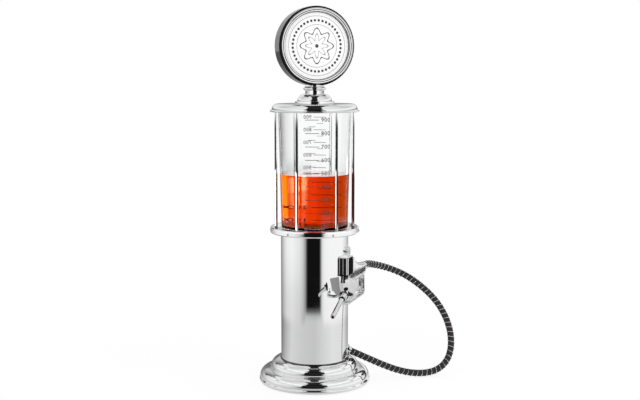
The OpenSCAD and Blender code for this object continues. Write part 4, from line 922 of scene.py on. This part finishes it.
class DISPENSER_OT_gun_fittings(bpy.types.Operator):
    """Spout with its nut, hose ferrule, splash wings, trigger guard, lever, valve and screws"""
    bl_idname = "dispenser.gun_fittings"
    bl_label = "Gun fittings"

    def execute(self, context):
        metal = cast_chrome()
        pipe = chain((3.1, 6.0), (3.1, 56.4), bow((2.5, 56.4), 0.6, 0, 180, 8), (1.9, 6.0))
        put("spout_pipe", "gun", ["spout"], [on_spout(pipe, 48, bore=2)], [metal, hollow_dark()])
        bell = chain((3.15, 7.0), (5.2, 7.0), (5.0, 9.0), (4.4, 11.6), (4.35, 13.2), (4.7, 15.0),
                     bow((4.5, 15.7), 0.35, 0, 180, 6), (3.7, 12.6), (3.15, 12.4))
        put("spout_bell", "gun", ["spout_nut"], [on_spout(bell, SIDES_SLIM, bore=3)],
            [metal, hollow_dark()])
        cuff = chain((3.9, 24), (6.9, 24), (7.0, 25), (6.8, 27.4), bow((6.5, 28.4), 0.6, -60, 60, 5), (6.4, 29.8),
                     (6.1, 33), bow((5.8, 34.4), 0.7, -60, 60, 5), (5.9, 36), bow((5.1, 37.5), 0.5, 0, 90, 4),
                     (3.9, 38))
        put("hose_cuff", "gun", ["hose_ferrule"], [set_at(turned(cuff, 96), (GUN_X, 0, 154), X, Z, Y)],
            [metal])
        self.wings(metal)
        self.guard(metal)
        self.spring()
        gasket = chain((4.2, 6.0), (5.7, 6.0), bow((5.7, 6.7), 0.5, -90, 90, 6), (4.2, 7.2))
        put("spout_gasket", "gun", [], [on_spout(gasket, SIDES_SLIM)], [rubber()])
        dress(["trigger"], metal)
        dress(["trigger_pin", "wing_rivets", "gun_screws", "guard_screws", "valve_stem"], steel())
        dress(["valve_block", "valve_plug"], brass())
        dress(["valve_seal"], rubber())
        return {"FINISHED"}

    def wings(self, metal):
        """Shield plates with soft corners, drawn in x and z, whose outer ends lean in step with their distance
        from the gun's middle, the right one forward, and the side feet that are riveted to the head."""
        half = np.array([(3.5, 155), (20, 151), (17, 138), (14, 134), (11, 129.6), (8, 129), (3.5, 131)], float)
        foot = soften(oblong(-48.6, -38, 141, 152), 1.5, 4)
        shapes = []
        for way, lean in ((-1, -0.03), (1, 0.22)):
            shield = plate(soften(half * (way, 1), 1.2, 4), -49.0, -47.4, 0.4)
            points, faces = set_at(shield, (GUN_X, 0, 0), X, Z, Y)
            points[:, 1] -= lean * (np.abs(points[:, 0] - GUN_X) - HEAD_HALF)
            # The left shield takes the duller steel, the right the cast chrome: painted shade that makes the left one
            # greyer
            shapes.append((points, faces, int(way < 0)))
            shapes.append((*across(foot, *sorted((way * HEAD_HALF, way * (HEAD_HALF + FOOT_THICK))), 0.4), 0))
        put("splash_plates", "gun", ["splash_wings"], shapes, [metal, steel()]).visible_glossy = False

    def spring(self):
        """Valve spring of four turns, (2.5 cos a, 2.5 sin a) while z rises with a."""
        a = np.linspace(0, 8 * np.pi, 129)
        out = np.stack([np.cos(a), np.sin(a), np.zeros_like(a)], axis=1)
        middle = np.array([GUN_X, -14.0, 154.42]) + np.linspace(0, 6.76, len(a))[:, None] * Z
        piece = put("valve_coil", None, [], [wound(middle, out, 2.5, 0.3)], [steel()])
        piece.visible_glossy = False
        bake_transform(piece)
        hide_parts("valve_spring")

    def guard(self, metal):
        """Strap round the lever: a rounded section carried along a path with soft corners."""
        path = soft_path([(-37.2, 123.1), (-45.9, 123.1), (-45.9, 118.7), (29.7, 118.7), (29.7, 145.2), (14.0, 145.2)],
                         [2.0, 2.0, 7.0, 7.0], 10)
        way = heading(path)
        spot = np.stack([np.full(len(path), GUN_X), path[:, 0], path[:, 1]], axis=1)
        up = np.stack([np.zeros(len(path)), -way[:, 1], way[:, 0]], axis=1)
        section = soften(oblong(-4.5, 4.5, -1.3, 1.3), 0.9, 4)
        strap = carried(spot, np.tile(X, (len(path), 1)), up, section)
        put("trigger_strap", "gun", ["trigger_guard"], [strap], [metal])


# Stage

# Focal length and sensor width in millimetres, and the shift of the photograph's frame
FOCAL, SENSOR, FRAME_SHIFT = 59.15, 36.0, 0.0084

# Soft lamps: name, angle off the camera, distance, height, width and power; all aim at the height LAMP_AIM
LAMPS = (("key_lamp", -35, 1.5, 1.5, 1.2, 9.0), ("fill_lamp", 60, 1.6, 1.1, 1.2, 9.0),
         ("top_lamp", 150, 0.8, 1.9, 1.4, 7.0))
LAMP_AIM, BOX_REACH = 0.25, 0.44

# Radius, height and columns of the tent that gloss sees, and radius and heights of the wall that glass sees
TENT_RADIUS, TENT_HEIGHT, TENT_COLUMNS = 460.0, 900.0, 360
GLASS_RADIUS, GLASS_HEIGHTS = 520.0, (100.0, 236.0, 262.0, 480.0)

# Glow of tent and wall by the angle off the camera's direction: angles in degrees, then levels
BANDS = {
    "wall": ([-180, -160, -142, -106, -80, -60, -50, -38, -30, -25, -22, 16, 20, 24, 32, 50, 100, 120, 140, 160, 180],
             [.15, .2, .42, .92, 1., .9, .86, .65, .34, .05, .006, .006, .25, .75, .95, 1., 1., .85, .55, .42, .3]),
    "floor": ([-180, -142, -106, -80, -38, 0, 30, 60, 110, 140, 180],
              [.15, .22, .52, .72, .64, .6, .72, .82, .78, .42, .3]),
    "drink": ([-180, -150, -128, 137, 146, 180], [.6, .5, .02, .02, .9, .6]),
    "empty": ([-180, -150, -128, -112, -98, -82, 82, 98, 140, 160, 180],
              [.6, .4, .12, .9, .9, .02, .02, 1., 1., .7, .6]),
    "lid": ([-180, -165, -160, -125, -106, -60, -38, -25, -20, 20, 25, 34, 100, 140, 150, 172, 180],
            [.35, .35, .25, .3, 1.1, 1.15, 1.15, 1.1, .006, .006, 1.1, 1.15, 1.15, 1.1, .35, .35, .35]),
    "neck": ([-180, -150, -120, -70, -40, -22, -18, 26, 30, 45, 75, 120, 150, 180],
             [.35, .25, .3, .8, 1.1, 1.1, .006, .006, 1.1, 1.1, .8, .3, .25, .35]),
    "sign": ([-180, -150, -105, -30, -22, 16, 24, 100, 150, 180], [.6, .85, .9, .9, .01, .01, .95, 1., .85, .6]),
    "glass_drink": ([-180, -178, -172, -165, -112, -111, 111, 112, 128, 134, 150, 156],
                    [.9, .85, .68, .62, .55, .01, .01, .4, .5, 3.6, 3.6, 1.]),
    "glass_empty": ([-180, -176, -172, -168, -164, -158, -112, -104, 95, 103, 146, 152],
                    [1., 1., .9, .7, .5, .25, .15, 1.2, 1.2, .8, .8, 1.]),
}

# Heights between which the tent goes over to the next band
CHANGES = (("drink", 149, 154), ("empty", 234, 250), ("lid", 325, 345), ("neck", 366, 374), ("sign", 405, 425))


def band(name, off):
    """Level of a band at the angles off, straight between its stated angles."""
    return np.interp(off, *BANDS[name])


def ease(value, low, high):
    """Soft step from 0 at low to 1 at high: s^2 (3 - 2 s), where s is the share of the way."""
    s = np.clip((value - low) / (high - low), 0, 1)
    return s * s * (3 - 2 * s)


def glow_card(name, points, columns, wrap, levels, finish, ray):
    """Grid that glows by the level of each point, is seen by one kind of ray and casts no shadow."""
    faces = grid_faces(len(points) // columns, columns, wrap_columns=wrap)
    card = put(name, None, [], [(points, faces)], [finish], outwards=False)
    card.data.attributes.new("glow", "FLOAT", "POINT").data.foreach_set("value", levels.astype(np.float32).ravel())
    card.visible_camera = card.visible_diffuse = card.visible_transmission = card.visible_glossy = False
    card.visible_volume_scatter = card.visible_shadow = False
    setattr(card, ray, True)


def hang(light, turn, reach, height, tilt=0.0):
    """Lamp at an angle round the stand and a level distance from its axis, which it faces, tilted down."""
    lamp = bpy.data.objects.new(light.name, light)
    lamp.location = (reach * math.sin(turn), -reach * math.cos(turn), height)
    lamp.rotation_euler = (math.pi / 2 - tilt, 0, turn)
    bpy.context.scene.collection.objects.link(lamp)
    return lamp


class DISPENSER_OT_camera(bpy.types.Operator):
    """Camera at the photograph's viewing angle"""
    bl_idname = "dispenser.camera"
    bl_label = "Camera"

    def execute(self, context):
        scene, s = context.scene, sizes()
        scene.view_settings.view_transform = "Standard"
        lens = bpy.data.cameras.new("camera")
        lens.sensor_width, lens.lens, lens.shift_x, lens.clip_start = SENSOR, FOCAL, FRAME_SHIFT, 0.01
        camera = bpy.data.objects.new("camera", lens)
        camera.location = (s.camera_reach * math.sin(s.camera_turn), -s.camera_reach * math.cos(s.camera_turn),
                           s.camera_height)
        camera.rotation_euler = (math.pi / 2 - s.camera_dip, 0, s.camera_turn)
        scene.collection.objects.link(camera)
        scene.camera = camera
        return {"FINISHED"}


class DISPENSER_OT_stage(bpy.types.Operator):
    """White floor and world, soft lamps, and the tent whose bands the chrome mirrors"""
    bl_idname = "dispenser.stage"
    bl_label = "Stage"

    def execute(self, context):
        turn = sizes().camera_turn
        self.world(context.scene)
        self.floor()
        self.tent(turn)
        self.strips(turn)
        for name, off, reach, height, wide, power in LAMPS:
            light = bpy.data.lights.new(name, "AREA")
            light.shape, light.size, light.energy = "DISK", wide, power
            tilt = math.atan2(height - LAMP_AIM, reach)
            hang(light, turn + math.radians(off), reach, height, tilt).visible_glossy = False
        return {"FINISHED"}

    def seen(self, tree, other, direct):
        """Node with the value direct on camera, glossy and transmission rays, and other on the rest."""
        path, one, two, pick = add_nodes(tree, "LightPath", "Math", "Math", "MapRange")
        one.operation = two.operation = "MAXIMUM"
        preset(pick, To_Min=other, To_Max=direct)
        join(tree, (path, "Is Camera Ray", one, 0), (path, "Is Glossy Ray", one, 1), (one, 0, two, 0),
             (path, "Is Transmission Ray", two, 1), (two, 0, pick, "Value"))
        return pick

    def world(self, scene):
        """White where the camera, gloss or glass looks, and a plain fill for matt surfaces."""
        world = bpy.data.worlds.new("white_room")
        world.use_nodes = True
        tree = world.node_tree
        background = tree.nodes["Background"]
        preset(background, Color=(1, 1, 1, 1))
        join(tree, (self.seen(tree, 0.7, 1.0), 0, background, "Strength"))
        scene.world = world

    def floor(self):
        """Wide white floor that keeps a soft share of the shadow near the part, and is plain white further off:
        the share is 0.88 within 120 mm of the axis and grows with the distance to 1 at 600 mm."""
        made, tree = new_finish("studio_floor")
        matt, glow, mix, place, far, share, both = add_nodes(tree, "BsdfDiffuse", "Emission", "MixShader", "TexCoord",
                                                             "VectorMath", "MapRange", "Math")
        far.operation, both.operation, share.interpolation_type = "LENGTH", "MULTIPLY", "SMOOTHSTEP"
        preset(share, From_Min=0.12, From_Max=0.6, To_Min=0.88, To_Max=1.0)
        preset(matt, Color=(0.95, 0.95, 0.95, 1))
        preset(glow, Color=(1, 1, 1, 1))
        join(tree, (place, "Object", far, 0), (far, "Value", share, "Value"), (share, 0, both, 0),
             (self.seen(tree, 0.0, 1.0), 0, both, 1), (both, 0, mix, "Fac"), (matt, 0, mix, 1), (glow, 0, mix, 2),
             (mix, 0, tree.nodes["Material Output"], "Surface"))
        tree.nodes.remove(tree.nodes["Principled BSDF"])
        u, v = np.meshgrid(np.linspace(-4000, 4000, 3), np.linspace(-4000, 4000, 3), indexing="ij")
        points = np.stack([u, v, np.full_like(u, -0.2)], axis=-1).reshape(-1, 3)
        flat = points, grid_faces(3, 3, wrap_columns=False)
        put("studio_ground", None, [], [flat], [made], outwards=False)

    def tent(self, turn):
        """Closed tent round the part that only gloss sees: floor, round wall and ceiling in one turned sheet.
        Its glow is worked out for each point from the angle off the camera's direction and from the height:
        dark in front, white at the sides, grey behind, softer on the floor, and another band beside each part."""
        rows = chain(np.stack([np.linspace(78, 455, 40), np.full(40, 0.05)], axis=1),
                     np.stack([np.full(110, TENT_RADIUS), np.linspace(1, TENT_HEIGHT, 110)], axis=1),
                     np.stack([np.linspace(450, 4, 50), np.full(50, TENT_HEIGHT + 1)], axis=1))
        off = np.linspace(-180, 180, TENT_COLUMNS, endpoint=False)
        r, z = rows[:, :1], rows[:, 1:]
        wall = band("wall", off)
        wall = wall * (1 - np.where(off < -23, 0.2, 0.03) * (1 - ease(z, 0, 130)))
        gun_side = ease(off, 116, 128) * (1 - ease(off, 162, 172)) * ease(z, 40, 55) * (1 - ease(z, 100, 118))
        wall = wall + (1 - wall) * gun_side
        ground, slot = band("floor", off), ease(off, -40, -26) * (1 - ease(off, 18, 30))
        glow = ground + (wall - ground) * ease(r, 360 + 65 * slot, 458) * (1 - slot * (1 - ease(z, -4, 15)))
        for name, low, high in CHANGES:
            glow = glow + (band(name, off) - glow) * ease(z, low, high)
        side, ahead = r * np.sin(np.radians(off)), r * np.cos(np.radians(off))
        above = np.where(np.abs(side) < 165, np.interp(ahead, [-460, -330, -200, 460], [.85, .8, .02, .02]),
                         np.interp(ahead, [-460, -100, 100, 460], [.9, .6, .75, .9]))
        glow = glow + (above - glow) * ease(z, 515, 575)
        made, tree = new_finish("tent_bands")
        level, light = add_nodes(tree, "Attribute", "Emission")
        level.attribute_name = "glow"
        join(tree, (level, "Fac", light, "Color"), (light, 0, tree.nodes["Material Output"], "Surface"))
        tree.nodes.remove(tree.nodes["Principled BSDF"])
        points = rings_at(rows, np.radians(off) + turn - math.pi / 2).reshape(-1, 3)
        glow_card("reflection_tent", points, TENT_COLUMNS, True, glow, made, "visible_glossy")
        self.glass_room(turn, made)

    def glass_room(self, turn, made):
        """Wall that only light through glass sees, open straight behind. Beside the drink its front is dark, its
        left behind is greyish and its right behind bright; beside the empty part the front is bright and the
        sides behind are dark."""
        off = np.linspace(-179, 152, 332)
        low, high = band("glass_drink", off), band("glass_empty", off)
        rows = np.array([(GLASS_RADIUS, h) for h in GLASS_HEIGHTS])
        points = rings_at(rows, np.radians(off) + turn - math.pi / 2).reshape(-1, 3)
        glow_card("glass_room", points, len(off), False, np.stack([low, low, high, high]), made,
                  "visible_transmission")

    def soft_box(self, turn, start, end, low, high, level, tint):
        """Upright box of light between two angles off the camera and two heights that gloss sees as bright as
        level. It gives no light to a path that has been through glass."""
        light = bpy.data.lights.new("strip", "AREA")
        wide, tall = BOX_REACH * math.radians(end - start), high - low
        light.shape, light.size, light.size_y, light.color = "RECTANGLE", wide, tall, tint
        light.energy = level * math.pi * wide * tall
        light.use_nodes = True
        tree = light.node_tree
        path, first = add_nodes(tree, "LightPath", "Math")
        first.operation, first.inputs[1].default_value = "LESS_THAN", 0.5
        join(tree, (path, "Transmission Depth", first, 0), (first, 0, tree.nodes["Emission"], "Strength"))
        return hang(light, turn + math.radians((start + end) / 2), BOX_REACH, (low + high) / 2)

    def strips(self, turn):
        """Soft boxes that light one target's gloss alone: warm ones at the left for the tank, weaker towards their
        edges and their foot, white ones for the rods, and white ones at both sides for base and collar. Each is
        given as start and end angle, lowest and highest place and level."""
        columns = ((-98, -86, 3.0), (-86, -80, 8.0), (-80, -70, 14.0), (-60, -54, 8.0), (-54, -28, 18.0),
                   (-28, -22, 7.0))
        steps = ((0.198, 0.224, 1.0), (0.172, 0.198, 0.45), (0.15, 0.172, 0.08))
        tank = [(a, b, low, high, share * level) for a, b, level in columns for low, high, share in steps]
        rods = [(a, b, 0.15, 0.25, 3.0) for a, b in ((-98, -70), (-54, -27))]
        sides = [(a, a + 20, 0.15, 0.335, 0.8) for a in (-86, -66, -46, 26, 46, 66)]
        sides += [(a, a + 20, 0.15, 0.24, 0.8) for a in (-126, -106, 86, 106)]
        warm, white = (1.0, 0.8, 0.38), (1.0, 1.0, 1.0)
        for targets, boxes, tint in ((("tank_wall",), tank, warm), (("cage_rod_set",), rods, white),
                                     (("base_shell", "collar_dish"), sides, white)):
            only = bpy.data.collections.new(targets[0] + "_gloss")
            for target in targets:
                only.objects.link(bpy.data.objects[target])
            for box in boxes:
                self.soft_box(turn, *box, tint).light_linking.receiver_collection = only


class DISPENSER_PT_panel(bpy.types.Panel):
    """Lists the dispenser's sizes, colours and pieces"""
    bl_idname = "DISPENSER_PT_panel"
    bl_label = "Drink dispenser"
    bl_space_type = "VIEW_3D"
    bl_region_type = "UI"
    bl_category = "Dispenser"

    def draw(self, context):
        for values in (context.scene.dispenser_sizes, context.scene.dispenser_colours):
            box = self.layout.box()
            for name in values.__annotations__:
                box.prop(values, name)
        for operator in OPERATORS:
            self.layout.operator(operator.bl_idname)


OPERATORS = (DISPENSER_OT_camera, DISPENSER_OT_hose, DISPENSER_OT_base, DISPENSER_OT_column, DISPENSER_OT_collar,
             DISPENSER_OT_cage, DISPENSER_OT_tank, DISPENSER_OT_scale, DISPENSER_OT_lid, DISPENSER_OT_sign,
             DISPENSER_OT_gun_body, DISPENSER_OT_gun_fittings, DISPENSER_OT_stage)
CLASSES = (DispenserSizes, DispenserColours) + OPERATORS + (DISPENSER_PT_panel,)


def register():
    for item in CLASSES:
        bpy.utils.register_class(item)
    bpy.types.Scene.dispenser_sizes = bpy.props.PointerProperty(type=DispenserSizes)
    bpy.types.Scene.dispenser_colours = bpy.props.PointerProperty(type=DispenserColours)


def unregister():
    del bpy.types.Scene.dispenser_colours
    del bpy.types.Scene.dispenser_sizes
    for item in reversed(CLASSES):
        bpy.utils.unregister_class(item)


def main():
    """Registers the classes and makes every piece in order."""
    register()
    bpy.ops.dispenser.camera()
    bpy.ops.dispenser.hose()
    bpy.ops.dispenser.base()
    bpy.ops.dispenser.column()
    bpy.ops.dispenser.collar()
    bpy.ops.dispenser.cage()
    bpy.ops.dispenser.tank()
    bpy.ops.dispenser.scale()
    bpy.ops.dispenser.lid()
    bpy.ops.dispenser.sign()
    bpy.ops.dispenser.gun_body()
    bpy.ops.dispenser.gun_fittings()
    bpy.ops.dispenser.stage()
    bpy.context.view_layer.update()


if __name__ == "__main__":
    main()
